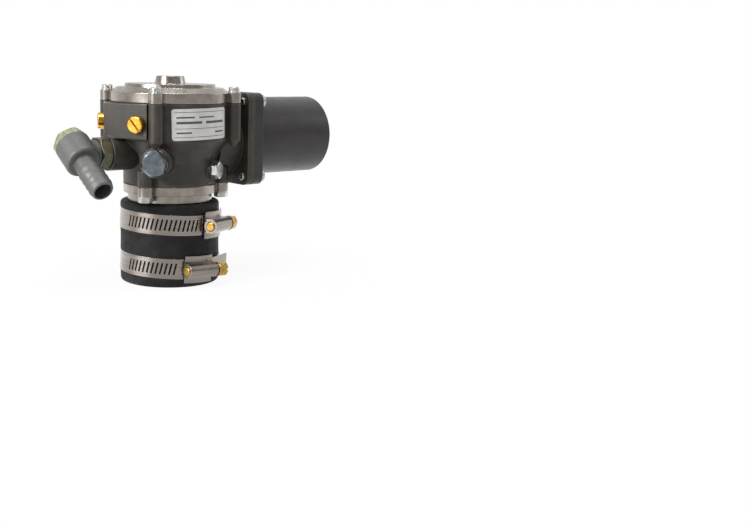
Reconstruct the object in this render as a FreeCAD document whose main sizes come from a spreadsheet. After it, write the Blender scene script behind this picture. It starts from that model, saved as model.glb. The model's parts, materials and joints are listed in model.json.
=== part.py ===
import FreeCAD, Part
import Sketcher
import math
import os
import re

# Engine gas mixer on a short coupling hose, in millimetres.
# The origin is the centre of the hose's lower end, +Z is up and +X is the way the air tube points.
# Angles round the upright axis count from +X towards +Y.

SIZES = [
    # Coupling hose
    ("hose_bore_radius", 25.4, "inside of the rubber hose, two inch bore"),
    ("hose_wall", 6.35, "rubber wall, a quarter inch"),
    ("hose_length", 52.5, "length of the coupling hose"),
    ("hose_end_round", 2, "rounding of the hose's outer end edges"),
    ("hose_end_gap", 0.2, "from the hose's upper end to the outlet collar"),
    ("hose_stretch", 0.3, "how much the spigot widens the bore"),
    ("stretch_lead", 0.4, "widened bore below the spigot's end"),
    ("stretch_ramp", 1, "from the widened bore to the plain one"),
    # Worm-drive clamps
    ("band_width", 12.7, "half inch clamp band"),
    ("band_thickness", 0.7, "steel strip"),
    ("band_bite", 0.3, "how deep the band sinks into the rubber"),
    ("band_fit", 0.02, "room between the band and its groove"),
    ("band_tilt", 2.8, "lean of both bands, degrees"),
    ("band_tilt_axis", 57, "direction that the bands lean about, degrees"),
    ("upper_band_drop", 12.5, "upper band's centre below the hose's upper end"),
    ("lower_band_height", 12.3, "lower band's centre above the hose's lower end"),
    ("upper_housing_angle", -64, "where the upper screw housing sits"),
    ("lower_housing_angle", -89, "where the lower screw housing sits"),
    ("slot_first_angle", -174, "where the worm slots begin"),
    ("slot_pitch", 2.9, "from one worm slot to the next"),
    ("slot_width", 1.25, "width of a worm slot"),
    ("slot_length", 7.4, "height of a worm slot"),
    ("slot_slant", 12, "lean of the worm slots, degrees"),
    ("tail_length", 17, "straight free end of the band"),
    ("tail_lead", 12, "arc of the free end inside the housing, degrees"),
    ("tail_trail", 27, "arc of the free end past the housing, degrees"),
    ("saddle_width", 17.2, "width of the housing's foot"),
    ("saddle_thickness", 0.9, "sheet of the housing's foot"),
    ("saddle_half_angle", 18, "half the arc that the foot covers, degrees"),
    ("saddle_fit", 0.05, "room between the foot and the band's free end"),
    ("worm_radius", 3.5, "outside of the worm"),
    ("worm_clearance", 0.35, "from the worm to the band under it"),
    ("worm_fit", 0.08, "running room of the worm in its barrel"),
    ("barrel_wall", 0.9, "sheet of the barrel"),
    ("barrel_length", 21, "length of the barrel"),
    ("barrel_shift", 1, "barrel's middle before the foot's middle"),
    ("barrel_end_wall", 1.6, "closing ring at the screw's point"),
    ("worm_tip_radius", 3, "screw's point in the closing ring"),
    ("worm_tip_stand", 1, "screw's point beyond that ring"),
    ("screw_collar_radius", 4.7, "collar under the clamp screw's head"),
    ("screw_collar_length", 1.4, "thickness of that collar"),
    ("screw_neck", 1, "from the barrel to the collar"),
    ("screw_hex_flats", 8, "across the flats of the clamp screw's head"),
    ("screw_hex_length", 5.6, "height of the clamp screw's head"),
    ("driver_slot_width", 1.2, "slot in every slotted head"),
    ("driver_slot_depth", 1.6, "depth of that slot"),
    # Outlet flange
    ("spigot_clearance", 0.05, "room of the spigot in the hose"),
    ("spigot_wall", 2.25, "wall of the spigot"),
    ("spigot_length", 22.5, "how far the spigot reaches into the hose"),
    ("collar_step", 1.8, "collar beyond the hose's bore"),
    ("collar_height", 5, "collar between hose and flange"),
    ("flange_margin", 4.6, "flange beyond the hose's bore"),
    ("outlet_flange_thickness", 5.8, "thickness of the outlet flange"),
    ("outlet_gasket_thickness", 0.8, "paper gasket under the body"),
    ("outlet_screw_gap", 1.3, "from the collar to the screws' heads"),
    ("outlet_ear_radius", 4.75, "round ear at each outlet screw"),
    ("outlet_screw_radius", 2.5, "M5 screw"),
    ("outlet_hex_flats", 8, "across the flats of the M5 head"),
    ("outlet_hex_height", 3.1, "height of the M5 head"),
    ("outlet_washer_thickness", 0.7, "washer under the M5 head"),
    ("outlet_thread_depth", 7, "thread in the body"),
    ("outlet_first_angle", -150, "first of the three outlet screws"),
    # Mixer body
    ("neck_wall", 3, "wall round the air port"),
    ("neck_lift", 1.1, "from the body's bottom to the neck"),
    ("neck_headroom", 0.6, "from the neck to the body's top"),
    ("neck_length", 2.5, "from the shell to the air flange"),
    ("waist_step", 2.4, "waist beyond the lower shell"),
    ("waist_drop", 31, "waist below the body's top"),
    ("shell_step", 5.6, "upper shell beyond the waist"),
    ("shell_height", 23, "height of the upper shell"),
    ("shell_wall", 3, "wall of the upper shell"),
    ("skirt_height", 14, "straight lower part of the shell"),
    ("throat_wall", 3, "wall round the throat"),
    ("diaphragm_drop", 5.8, "clamped rim to the middle of the diaphragm"),
    ("valve_height", 11.2, "height of the air valve"),
    ("valve_seal_thickness", 0.95, "ring seal on the air valve"),
    ("seat_gap", 0.05, "seal to seat when the valve is closed"),
    ("gas_drop", 12.8, "gas inlet's axis below the throat's seat"),
    ("gas_hub_radius", 10.5, "hub in the middle of the throat"),
    ("gas_spoke_radius", 9, "hollow spoke that carries the gas"),
    ("gas_spoke_reach", 36, "from the hub's axis to the spoke's seat in the casting"),
    ("gas_passage_radius", 6.5, "bore of that spoke"),
    ("gas_boss_radius", 11, "boss at the gas inlet"),
    ("gas_boss_reach", 9, "boss beyond the shell"),
    ("gas_thread_radius", 8, "thread of the gas inlet"),
    ("gas_thread_depth", 10, "depth of that thread"),
    ("column_offset", 3.3, "cover screws beyond the shell"),
    ("column_radius", 4.5, "column and ear at each cover screw"),
    ("column_foot_height", 4, "cone under each column"),
    ("column_foot_gap", 0.4, "from that cone down to the large plug's washer"),
    ("cover_screw_radius", 2, "M4 screw"),
    ("cover_thread_depth", 11, "thread in each column"),
    ("mixture_angle", 151, "the two mixture screws, each way from +X"),
    ("mixture_drop", 12.3, "mixture screws below the body's top"),
    ("pad_offset", 4, "flat screw pads beyond the shell"),
    ("pad_margin", 6.4, "pad beside each mixture screw"),
    ("pad_depth", 9, "pad below each mixture screw"),
    ("mixture_post_radius", 6.2, "post inside the shell at each mixture screw"),
    ("mixture_post_length", 3.6, "length of that post inside the shell"),
    ("hex_plug_angle", -135, "large plug"),
    ("hex_plug_height", 15.5, "large plug above the body's bottom"),
    ("hex_plug_boss_radius", 9.5, "boss of the large plug"),
    ("hex_plug_boss_offset", 4.5, "that boss beyond the shell"),
    ("port_plug_angle", -60, "small plug"),
    ("port_plug_height", 9, "small plug above the body's bottom"),
    ("port_plug_boss_radius", 6.3, "boss of the small plug"),
    ("port_plug_boss_offset", 1.7, "that boss beyond the lower shell"),
    # Air inlet
    ("air_tube_radius", 26.2, "outside of the air tube, two and one sixteenth inch"),
    ("air_tube_wall", 2, "wall of the air tube"),
    ("air_tube_length", 62.2, "tube beyond its flange"),
    ("tube_seat_step", 0.5, "tube's seat in its flange, inside the tube's outside"),
    ("tube_seat_fit", 0.05, "room of that seat in the flange"),
    ("weld_length", 2.2, "weld bead along the tube"),
    ("port_step", 2.7, "air port inside the tube's bore"),
    ("air_flange_rise", 1.8, "tube's axis above the port's axis"),
    ("air_screw_gap", 8.45, "air screws beyond the tube"),
    ("air_flange_corner", 5.5, "corner radius of the square flanges"),
    ("body_flange_thickness", 3.9, "square flange on the body"),
    ("air_gasket_thickness", 1.5, "gasket between the square flanges"),
    ("adapter_flange_thickness", 6.9, "square flange on the tube"),
    ("air_screw_radius", 2.5, "M5 screw"),
    ("air_screw_tail", 1.6, "screw's point past the body's flange"),
    ("air_head_radius", 4.2, "round head of the air screws"),
    ("air_head_height", 3.2, "height of that head"),
    ("air_washer_thickness", 0.7, "washer under that head"),
    # Cover, diaphragm and air valve
    ("diaphragm_thickness", 0.7, "rubber sheet"),
    ("cover_wall_height", 5.9, "straight wall of the cover"),
    ("cover_slope_height", 3, "sloped shoulder of the cover"),
    ("cover_shoulder_step", 4, "shoulder inside the wall"),
    ("cover_pad_step", 9, "raised face inside the wall"),
    ("cover_pad_height", 2.3, "raised face above the shoulder"),
    ("cover_shell", 2.5, "metal of the cover's roof"),
    ("cover_rim", 4, "clamping rim of the cover"),
    ("cover_ear_height", 6.3, "ears of the cover"),
    ("spring_boss_height", 4.8, "spring boss above the raised face"),
    ("spring_boss_radius", 9.9, "foot of the spring boss"),
    ("spring_boss_taper", 1.1, "how much the boss narrows"),
    ("spring_pocket_fit", 0.6, "room of the spring in its pocket"),
    ("cover_washer_thickness", 0.9, "spring washer under each cover screw"),
    ("cover_head_radius", 3.5, "round head of the cover screws"),
    ("cover_head_height", 2.8, "height of that head"),
    ("valve_rim_step", 4.4, "valve's rim beyond the throat"),
    ("valve_rim_height", 2.5, "height of that rim"),
    ("valve_cup_step", 2, "valve's cup beyond the throat"),
    ("valve_cup_wall", 2.5, "wall of the valve's cup"),
    ("valve_roof", 2, "roof of the valve's cup"),
    ("valve_roof_step", 5, "roof beyond the throat"),
    ("valve_boss_radius", 5, "boss under the valve's roof"),
    ("diaphragm_plate_thickness", 1.5, "plate on the diaphragm"),
    ("vent_radius", 2, "holes that lead the vacuum up"),
    ("vent_circle", 14, "where those holes are"),
    ("plate_screw_circle", 20, "where the plate's screws are"),
    ("plate_screw_radius", 1.5, "M3 screw"),
    ("plate_head_radius", 2.9, "round head of the plate's screws"),
    ("plate_head_height", 1.9, "height of that head"),
    ("stem_radius", 2.45, "stem of the metering cone"),
    ("stem_fit", 0.15, "room round the stem"),
    ("cone_radius", 7.6, "metering cone at its top"),
    ("cone_tip_radius", 5, "metering cone at its tip"),
    ("cone_length", 13, "cone below the seat"),
    ("cone_top_height", 2.2, "straight top of the cone above the seat"),
    ("jet_fit", 0.4, "gap between cone and jet"),
    ("jet_wall", 1.1, "wall of the gas jet"),
    ("jet_flange", 2, "flange of the gas jet"),
    ("jet_depth", 4, "jet's sleeve below its flange"),
    ("nut_flats", 8, "across the flats of the stem's nut"),
    ("nut_height", 2.7, "height of that nut"),
    ("spring_wire", 1.2, "wire of the valve's spring"),
    ("spring_radius", 6.4, "middle of the wire from the axis"),
    ("spring_turns", 6, "turns of the spring"),
    ("spring_gap", 0.1, "spring to what it stands on"),
    # Mixture screws
    ("mixture_radius", 5.2, "body of a mixture screw"),
    ("mixture_fit", 0.08, "running room in the bore"),
    ("mixture_stand", 4, "screw's face beyond its pad"),
    ("mixture_bore_depth", 6, "wide bore below the pad"),
    ("mixture_bore_room", 1.3, "screw's shoulder to the bore's end"),
    ("mixture_thread_radius", 4, "thread of a mixture screw"),
    ("mixture_thread_length", 3.3, "length of that thread"),
    ("mixture_needle_length", 2.6, "length of the needle"),
    ("mixture_needle_radius", 1.4, "needle's tip"),
    ("mixture_slot_angle", 40, "how the screwdriver slots stand, degrees"),
    ("oring_wire", 1.4, "section of the O-rings"),
    ("oring_depth", 2.6, "O-ring's middle below the pad"),
    ("oring_side_room", 0.15, "room beside the O-ring"),
    # Plugs
    ("hex_plug_flats", 14.3, "across the flats of the large plug"),
    ("hex_plug_turn", -12, "how the large plug's hexagon stands, degrees"),
    ("hex_plug_head", 6, "height of the large plug's head"),
    ("hex_plug_thread_radius", 5.5, "thread of the large plug"),
    ("hex_plug_thread_length", 8, "length of that thread"),
    ("hex_washer_thickness", 0.7, "sealing washer"),
    ("hex_washer_radius", 7.8, "sealing washer's outside"),
    ("port_plug_flats", 10, "across the flats of the small plug"),
    ("port_plug_head", 4, "height of the small plug's head"),
    ("port_plug_thread_radius", 3, "thread of the small plug"),
    ("port_plug_thread_length", 4, "length of that thread"),
    ("port_drill_radius", 1, "drilling from the throat to the small plug"),
    ("thread_fit", 0.05, "room of a plain thread in its hole"),
    ("hole_fit", 0.25, "room of a screw in a clearance hole"),
    # Gas inlet
    ("nipple_flats", 19, "across the flats of the gas nipple"),
    ("nipple_hex_length", 7, "length of its hexagon"),
    ("nipple_seat", 0.1, "nipple's hexagon to the faces beside it"),
    ("nipple_bore_radius", 5.2, "bore of the gas nipple"),
    ("nipple_outer_radius", 6.6, "nipple's end in the elbow"),
    ("nipple_outer_length", 4.3, "length of that end"),
    ("elbow_hub_radius", 11, "elbow's main barrel"),
    ("elbow_hub_length", 17, "length of that barrel"),
    ("elbow_collar_radius", 8.4, "elbow's collar at the nipple"),
    ("elbow_collar_stand", 0.5, "collar beyond the barrel"),
    ("elbow_droop", 33, "hose barb below the level, degrees"),
    ("barb_root_radius", 6.7, "plain stem of the hose barb"),
    ("barb_ridge", 0.7, "height of the barb's ridges"),
    ("barb_plain_length", 8, "plain stem beside the barrel"),
    ("barb_ridge_pitch", 4.6, "from one ridge to the next"),
    ("barb_ridge_count", 4, "ridges on the barb"),
    ("barb_bore_radius", 5.4, "bore of the barb"),
    ("elbow_plug_flats", 19, "across the flats of the elbow's plug"),
    ("elbow_plug_turn", 32, "how that plug's hexagon stands, degrees"),
    ("elbow_plug_head", 5.6, "height of that plug's head"),
    ("elbow_plug_thread_radius", 7, "thread of that plug"),
    ("elbow_plug_thread_length", 5.5, "length of that thread"),
    ("elbow_plug_nub_radius", 3.4, "round nub on that plug"),
    ("elbow_plug_nub_height", 1.5, "height of the nub"),
    # Label plate
    ("plate_from_angle", -121.5, "label plate's first edge"),
    ("plate_to_angle", -60.5, "label plate's last edge"),
    ("plate_height", 19.3, "height of the label plate"),
    ("plate_thickness", 0.35, "thickness of the label plate"),
    ("plate_drop", 11.8, "plate's middle below the body's top"),
    ("plate_corner", 1.6, "corner radius of the label plate"),
    ("plate_tilt", 1.5, "the plate is not quite level, degrees"),
]

doc = FreeCAD.newDocument("gas_mixer")
sheet = doc.addObject("Spreadsheet::Sheet", "sizes")
for row, (alias, number, note) in enumerate(SIZES, start=1):
    sheet.set(f"A{row}", note)
    sheet.set(f"B{row}", str(number))
    sheet.setAlias(f"B{row}", alias)
doc.recompute()

SIZE_WORD = re.compile(r"\b(" + "|".join(alias for alias, number, note in SIZES) + r")\b")
nodes = []


def cells(expression):
    """Write an expression with each size's word pointing at its cell."""
    return SIZE_WORD.sub(r"sizes.\1", str(expression))


def value(expression):
    """Read an expression's present value as a number."""
    result = sheet.evalExpression(cells(expression))
    return float(getattr(result, "Value", result))


def at(x=0, y=0, z=0):
    """A move without a turn, as the text of a placement."""
    return f"placement(vector({x}; {y}; {z}); rotation(vector(0; 0; 1); 0))"


def turn(axis, angle):
    """A turn about an axis through the origin, as the text of a placement."""
    x, y, z = axis
    return f"placement(vector(0; 0; 0); rotation(vector({x}; {y}; {z}); {angle}))"


X_AXIS = (1, 0, 0)
Y_AXIS = (0, 1, 0)
Z_AXIS = (0, 0, 1)
LYING_X = turn(Y_AXIS, 90)
LYING_BACK_X = turn(Y_AXIS, -90)


def place(thing, *moves):
    """Put a thing by a chain of moves, the outermost first."""
    if moves:
        thing.setExpression("Placement", cells(" * ".join(moves)))
    return thing


def made(kind, name, *moves, **measures):
    """Make one primitive with its measures bound to the sheet."""
    thing = doc.addObject(kind, name)
    for measure, expression in measures.items():
        thing.setExpression(measure, cells(expression))
    return place(thing, *moves)


def rod(name, radius, length, *moves):
    """A cylinder that stands on its own origin."""
    return made("Part::Cylinder", name, *moves, Radius=radius, Height=length)


def cone(name, foot, top, length, *moves):
    """A cone frustum that stands on its own origin."""
    return made("Part::Cone", name, *moves, Radius1=foot, Radius2=top, Height=length)


def block(name, length, width, height, *moves):
    """A box centred on its own origin in length and width, standing on it in height."""
    centred = at(f"-({length}) / 2", f"-({width}) / 2", 0)
    return made("Part::Box", name, *moves, centred, Length=length, Width=width, Height=height)


def hexagon(name, flats, height, *moves):
    """A six-sided prism given across its flats."""
    prism = made("Part::Prism", name, *moves, Circumradius=f"({flats}) / 2 / cos(30)", Height=height)
    prism.Polygon = 6
    return prism


def fuse(name, *pieces):
    """Join pieces into one solid."""
    joined = doc.addObject("Part::MultiFuse", name)
    joined.Shapes = list(pieces)
    joined.Refine = True
    return joined


def common(name, *pieces):
    """Keep what all the pieces share."""
    shared = doc.addObject("Part::MultiCommon", name)
    shared.Shapes = list(pieces)
    return shared


def cut(name, base, *tools):
    """Take tools away from a base."""
    result = doc.addObject("Part::Cut", name)
    result.Base = base
    result.Tool = tools[0] if len(tools) == 1 else fuse(name + "_tools", *tools)
    result.Refine = True
    return result


def origin_plane(body, role):
    """One of a body's own three planes."""
    return [feature for feature in body.Origin.OriginFeatures if feature.Role == role][0]


def outline(body, name, role, points):
    """A closed sketch through points whose places are bound to the sheet."""
    sketch = body.newObject("Sketcher::SketchObject", name)
    sketch.AttachmentSupport = [(origin_plane(body, role), "")]
    sketch.MapMode = "FlatFace"
    corners = [FreeCAD.Vector(value(x), value(y), 0) for x, y in points]
    for index, corner in enumerate(corners):
        following = corners[(index + 1) % len(corners)]
        sketch.addGeometry(Part.LineSegment(corner, following))
    for index, (x, y) in enumerate(points):
        following = (index + 1) % len(points)
        sketch.addConstraint(Sketcher.Constraint("Coincident", index, 2, following, 1))
        for kind, expression in (("DistanceX", x), ("DistanceY", y)):
            datum = Sketcher.Constraint(kind, -1, 1, index, 1, value(expression))
            number = sketch.addConstraint(datum)
            sketch.setExpression(f"Constraints[{number}]", cells(expression))
    return sketch


def turned(name, points, *moves):
    """A body turned about its own Z from a profile of radius and height."""
    body = doc.addObject("PartDesign::Body", name)
    sketch = outline(body, name + "_profile", "XZ_Plane", points)
    spun = body.newObject("PartDesign::Revolution", name + "_turned")
    spun.Profile = sketch
    spun.ReferenceAxis = (sketch, ["V_Axis"])
    spun.Angle = 360
    return place(body, *moves)


def extruded(name, points, height, *moves):
    """A body padded up from an outline on its own floor."""
    body = doc.addObject("PartDesign::Body", name)
    sketch = outline(body, name + "_outline", "XY_Plane", points)
    pad = body.newObject("PartDesign::Pad", name + "_pad")
    pad.Profile = sketch
    pad.setExpression("Length", cells(height))
    return place(body, *moves)


def soften(body, size, *rings):
    """Round the circular edges of a turned body at the given radii and heights."""
    doc.recompute()
    wanted = [(value(radius), value(height)) for radius, height in rings]
    base = body.Tip
    chosen = []
    for number, edge in enumerate(base.Shape.Edges, start=1):
        if not isinstance(edge.Curve, Part.Circle):
            continue
        centre = edge.Curve.Center
        if any(abs(edge.Curve.Radius - r) < 1e-4 and abs(centre.z - z) < 1e-4 for r, z in wanted):
            chosen.append(f"Edge{number}")
    rounding = body.newObject("PartDesign::Fillet", body.Name + "_round" + str(len(body.Group)))
    rounding.Base = (base, chosen)
    rounding.setExpression("Radius", cells(size))
    body.Tip = rounding
    return body


def copies(name, model, *placings):
    """A group of separate solids, each a linked copy of one model."""
    links = []
    for number, moves in enumerate(placings, start=1):
        link = doc.addObject("App::Link", f"{name}_{number}")
        link.LinkedObject = model
        links.append(place(link, *moves))
    group = doc.addObject("Part::Compound", name)
    group.Links = links
    return group


def ring_of(angles, *moves):
    """The same place repeated at several angles round the upright axis."""
    return [(turn(Z_AXIS, angle), *moves) for angle in angles]


def node(label, thing, *moves):
    """Name a finished piece."""
    place(thing, *moves)
    thing.Label = label
    nodes.append(thing)
    return thing


def hex_head(name, flats, height, chamfer):
    """A hex head with its outer corners turned off, standing on its own origin."""
    corner = f"(({flats}) / 2 / cos(30) + 0.01)"
    crown = turned(name + "_crown", [
        (0, 0),
        (corner, 0),
        (corner, f"({height}) - ({chamfer}) * 0.5"),
        (f"({flats}) / 2 - ({chamfer}) * 0.3", height),
        (0, height),
    ])
    return common(name, crown, hexagon(name + "_flats", flats, height))


# Heights, from the floor up
COLLAR_BOTTOM = "(hose_length + hose_end_gap)"
FLANGE_BOTTOM = f"({COLLAR_BOTTOM} + collar_height)"
FLANGE_TOP = f"({FLANGE_BOTTOM} + outlet_flange_thickness)"
BODY_BOTTOM = f"({FLANGE_TOP} + outlet_gasket_thickness)"
TUBE_BORE = "(air_tube_radius - air_tube_wall)"
PORT_RADIUS = f"({TUBE_BORE} - port_step)"
NECK_RADIUS = f"({PORT_RADIUS} + neck_wall)"
BODY_HEIGHT = f"(neck_lift + 2 * {NECK_RADIUS} + neck_headroom)"
BODY_TOP = f"({BODY_BOTTOM} + {BODY_HEIGHT})"
COLUMN_FOOT = "(hex_plug_height + hex_washer_radius + column_foot_gap)"
COLUMN_HEIGHT = f"({BODY_HEIGHT} - {COLUMN_FOOT} - column_foot_height)"
COVER_BOTTOM = f"({BODY_TOP} + diaphragm_thickness)"
PORT_Z = f"({BODY_BOTTOM} + neck_lift + {NECK_RADIUS})"
AIR_Z = f"({PORT_Z} + air_flange_rise)"
VALVE_TOP = f"({BODY_TOP} - diaphragm_drop)"
PLATE_BOTTOM = f"({VALVE_TOP} + diaphragm_thickness)"
PLATE_TOP = f"({PLATE_BOTTOM} + diaphragm_plate_thickness)"
VALVE_BOTTOM = f"({VALVE_TOP} - valve_height)"
SEAT_Z = f"({VALVE_BOTTOM} - valve_seal_thickness - seat_gap)"
GAS_Z = f"({SEAT_Z} - gas_drop)"
MIXTURE_Z = f"({BODY_TOP} - mixture_drop)"

# Radii, from the hose's bore out
HOSE_RADIUS = "(hose_bore_radius + hose_wall)"
STRETCHED_BORE = "(hose_bore_radius + hose_stretch)"
SPIGOT_RADIUS = f"({STRETCHED_BORE} - spigot_clearance)"
THROAT_RADIUS = f"({SPIGOT_RADIUS} - spigot_wall)"
COLLAR_RADIUS = "(hose_bore_radius + collar_step)"
LOWER_RADIUS = "(hose_bore_radius + flange_margin)"
WAIST_RADIUS = f"({LOWER_RADIUS} + waist_step)"
SHELL_RADIUS = f"({WAIST_RADIUS} + shell_step)"
CHAMBER_RADIUS = f"({SHELL_RADIUS} - shell_wall)"
OUTLET_CIRCLE = f"({COLLAR_RADIUS} + outlet_screw_gap + outlet_hex_flats / 2 / cos(30))"
COVER_CIRCLE = f"({SHELL_RADIUS} + column_offset)"
PAD_REACH = f"({SHELL_RADIUS} + pad_offset)"
BOSS_REACH = f"({SHELL_RADIUS} + gas_boss_reach)"
BAND_RADIUS = f"({HOSE_RADIUS} - band_bite + band_fit)"
BAND_OUTSIDE = f"({BAND_RADIUS} + band_thickness)"

# Lengths along the air tube
AIR_CIRCLE = "(air_tube_radius + air_screw_gap)"
AIR_OFFSET = f"({AIR_CIRCLE} * cos(45))"
FLANGE_SIDE = f"(2 * ({AIR_OFFSET} + air_flange_corner))"
BODY_FLANGE_X = f"({SHELL_RADIUS} + neck_length)"
AIR_GASKET_X = f"({BODY_FLANGE_X} + body_flange_thickness)"
ADAPTER_X = f"({AIR_GASKET_X} + air_gasket_thickness)"
TUBE_X = f"({ADAPTER_X} + adapter_flange_thickness)"

OUTLET_ANGLES = [f"(outlet_first_angle + {step})" for step in (0, 120, 240)]
COVER_ANGLES = [45, 135, 225, 315]
MIXTURE_ANGLES = {"idle": "(0 - mixture_angle)", "power": "mixture_angle"}
BAND_LEAN = turn(("cos(band_tilt_axis)", "sin(band_tilt_axis)", 0), "band_tilt")
BANDS = {
    "upper": (at(z="hose_length - upper_band_drop"), "upper_housing_angle"),
    "lower": (at(z="lower_band_height"), "lower_housing_angle"),
}


def coupling_hose():
    """Thick rubber sleeve, widened by the spigot, with a shallow groove where each band bites."""
    spigot_end = "(hose_length - spigot_length - stretch_lead)"
    sleeve = turned("hose_sleeve", [
        ("hose_bore_radius", 0),
        (HOSE_RADIUS, 0),
        (HOSE_RADIUS, "hose_length"),
        (STRETCHED_BORE, "hose_length"),
        (STRETCHED_BORE, spigot_end),
        ("hose_bore_radius", f"{spigot_end} - stretch_ramp"),
    ])
    soften(sleeve, "hose_end_round", (HOSE_RADIUS, 0), (HOSE_RADIUS, "hose_length"))
    grooves = []
    for side, (height, angle) in BANDS.items():
        width = "(band_width + 0.3)"
        outer = rod(f"{side}_groove_outer", f"{HOSE_RADIUS} + 2", width)
        inner = rod(f"{side}_groove_inner", f"{HOSE_RADIUS} - band_bite", width)
        groove = cut(f"{side}_groove", outer, inner)
        grooves.append(place(groove, height, BAND_LEAN, at(z=f"-{width} / 2")))
    node("coupling_hose", cut("hose", sleeve, *grooves))


def worm_slots(side, first, last):
    """Slanted slots through a band, from one angle to another, in the housing's own frame."""
    step = f"(slot_pitch / {BAND_OUTSIDE} * 57.29578)"
    count = int((last - first) / value(step))
    slots = []
    for index in range(count):
        angle = f"({first} + {index} * {step})"
        tool = block(
            f"{side}_slot_{len(slots) + 1}", 6, "slot_width", "slot_length",
            turn(Z_AXIS, angle), at(x=BAND_OUTSIDE), turn(X_AXIS, "-slot_slant"),
            at(z="-slot_length / 2"))
        slots.append(tool)
    return slots


def clamp_band(side, height, angle):
    """Steel strip round the hose, slotted up to its housing, with a free end beyond it."""
    low = at(z="-band_width / 2")
    ring = cut(
        f"{side}_ring",
        rod(f"{side}_ring_outer", BAND_OUTSIDE, "band_width", low),
        rod(f"{side}_ring_inner", BAND_RADIUS, "band_width + 2", at(z="-band_width / 2 - 1")))
    reach = "(tail_lead + tail_trail)"
    wrap_outer = rod(f"{side}_wrap_outer", f"{BAND_OUTSIDE} + band_thickness", "band_width", low,
                     turn(Z_AXIS, "-tail_lead"))
    wrap_outer.setExpression("Angle", cells(reach))
    wrap_inner = rod(f"{side}_wrap_inner", f"{BAND_OUTSIDE} - 0.1", "band_width + 2",
                     at(z="-band_width / 2 - 1"))
    wrap = cut(f"{side}_wrap", wrap_outer, wrap_inner)
    tail = block(
        f"{side}_tail", "band_thickness", "tail_length", "band_width",
        turn(Z_AXIS, "tail_trail"),
        at(f"{BAND_OUTSIDE} + band_thickness / 2", "tail_length / 2", "-band_width / 2"))
    strip = fuse(f"{side}_strip", ring, wrap, tail)
    first = value("slot_first_angle") - value(angle)
    slots = worm_slots(side, round(first, 3), -value("saddle_half_angle"))
    band = cut(f"{side}_band", strip, *slots)
    node(f"{side}_clamp_band", band, height, BAND_LEAN, turn(Z_AXIS, angle))


TAIL_OUTSIDE = f"({BAND_OUTSIDE} + band_thickness)"
SADDLE_RADIUS = f"({TAIL_OUTSIDE} + saddle_fit)"
WORM_AXIS = f"({TAIL_OUTSIDE} + worm_clearance + worm_radius)"
BARREL_BORE = "(worm_radius + worm_fit)"
BARREL_RADIUS = f"({BARREL_BORE} + barrel_wall)"
BARREL_START = "(0 - barrel_length / 2 - barrel_shift)"
ALONG_WORM = turn(X_AXIS, -90)


def clamp_housing(side, height, angle):
    """Foot that straddles the band, and the barrel that holds the worm."""
    spread = rod(f"{side}_foot_outer", f"{SADDLE_RADIUS} + saddle_thickness", "saddle_width",
                 at(z="-saddle_width / 2"), turn(Z_AXIS, "-saddle_half_angle"))
    spread.setExpression("Angle", cells("2 * saddle_half_angle"))
    hollow = rod(f"{side}_foot_inner", SADDLE_RADIUS, "saddle_width + 2",
                 at(z="-saddle_width / 2 - 1"))
    foot = cut(f"{side}_foot", spread, hollow)
    start = at(WORM_AXIS, BARREL_START, 0)
    barrel = rod(f"{side}_barrel", BARREL_RADIUS, "barrel_length", start, ALONG_WORM)
    stand = f"({WORM_AXIS} - {SADDLE_RADIUS} - saddle_thickness / 2)"
    cheeks = block(
        f"{side}_cheeks", stand, "barrel_length", f"2 * {BARREL_RADIUS}",
        at(f"{WORM_AXIS} - {stand} / 2", "-barrel_shift", f"-{BARREL_RADIUS}"))
    solid = fuse(f"{side}_housing_solid", foot, barrel, cheeks)
    bore = rod(f"{side}_barrel_bore", BARREL_BORE, "barrel_length",
               at(WORM_AXIS, f"{BARREL_START} + barrel_end_wall", 0), ALONG_WORM)
    eye = rod(f"{side}_barrel_eye", "worm_tip_radius + worm_fit", "barrel_length",
              at(WORM_AXIS, f"{BARREL_START} - 1", 0), ALONG_WORM)
    window = block(
        f"{side}_window", f"{WORM_AXIS} - {SADDLE_RADIUS} + 3",
        "barrel_length - 2 * barrel_end_wall", f"2 * {BARREL_BORE}",
        at(f"({WORM_AXIS} + {SADDLE_RADIUS} - 3) / 2", "-barrel_shift", f"-{BARREL_BORE}"))
    clear = rod(f"{side}_band_room", SADDLE_RADIUS, "saddle_width + 2",
                at(z="-saddle_width / 2 - 1"))
    housing = cut(f"{side}_housing", solid, bore, eye, window, clear)
    node(f"{side}_clamp_housing", housing, height, BAND_LEAN, turn(Z_AXIS, angle))


def clamp_screw(side, height, angle):
    """Worm with its point, collar and slotted hex head, turned along its own Z."""
    point = "(barrel_end_wall + 0.5)"
    worm = turned(f"{side}_worm", [
        (0, "-worm_tip_stand"),
        ("worm_tip_radius - 0.6", "-worm_tip_stand"),
        ("worm_tip_radius", "0.6 - worm_tip_stand"),
        ("worm_tip_radius", point),
        ("worm_radius", point),
        ("worm_radius", "barrel_length - 0.6"),
        ("worm_radius - 0.5", "barrel_length - 0.1"),
        ("worm_radius - 0.5", "barrel_length + screw_neck"),
        ("screw_collar_radius", "barrel_length + screw_neck"),
        ("screw_collar_radius", "barrel_length + screw_neck + screw_collar_length"),
        (0, "barrel_length + screw_neck + screw_collar_length"),
    ])
    head_foot = "(barrel_length + screw_neck + screw_collar_length)"
    head = hex_head(f"{side}_screw_head", "screw_hex_flats", "screw_hex_length", 1)
    place(head, at(z=head_foot))
    slot = block(f"{side}_screw_slot", "2 * screw_hex_flats", "driver_slot_width",
                 "driver_slot_depth + 1",
                 at(z=f"{head_foot} + screw_hex_length - driver_slot_depth"))
    screw = cut(f"{side}_screw", fuse(f"{side}_screw_solid", worm, head), slot)
    node(f"{side}_clamp_screw", screw, height, BAND_LEAN, turn(Z_AXIS, angle),
         at(WORM_AXIS, BARREL_START, 0), ALONG_WORM)


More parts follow.
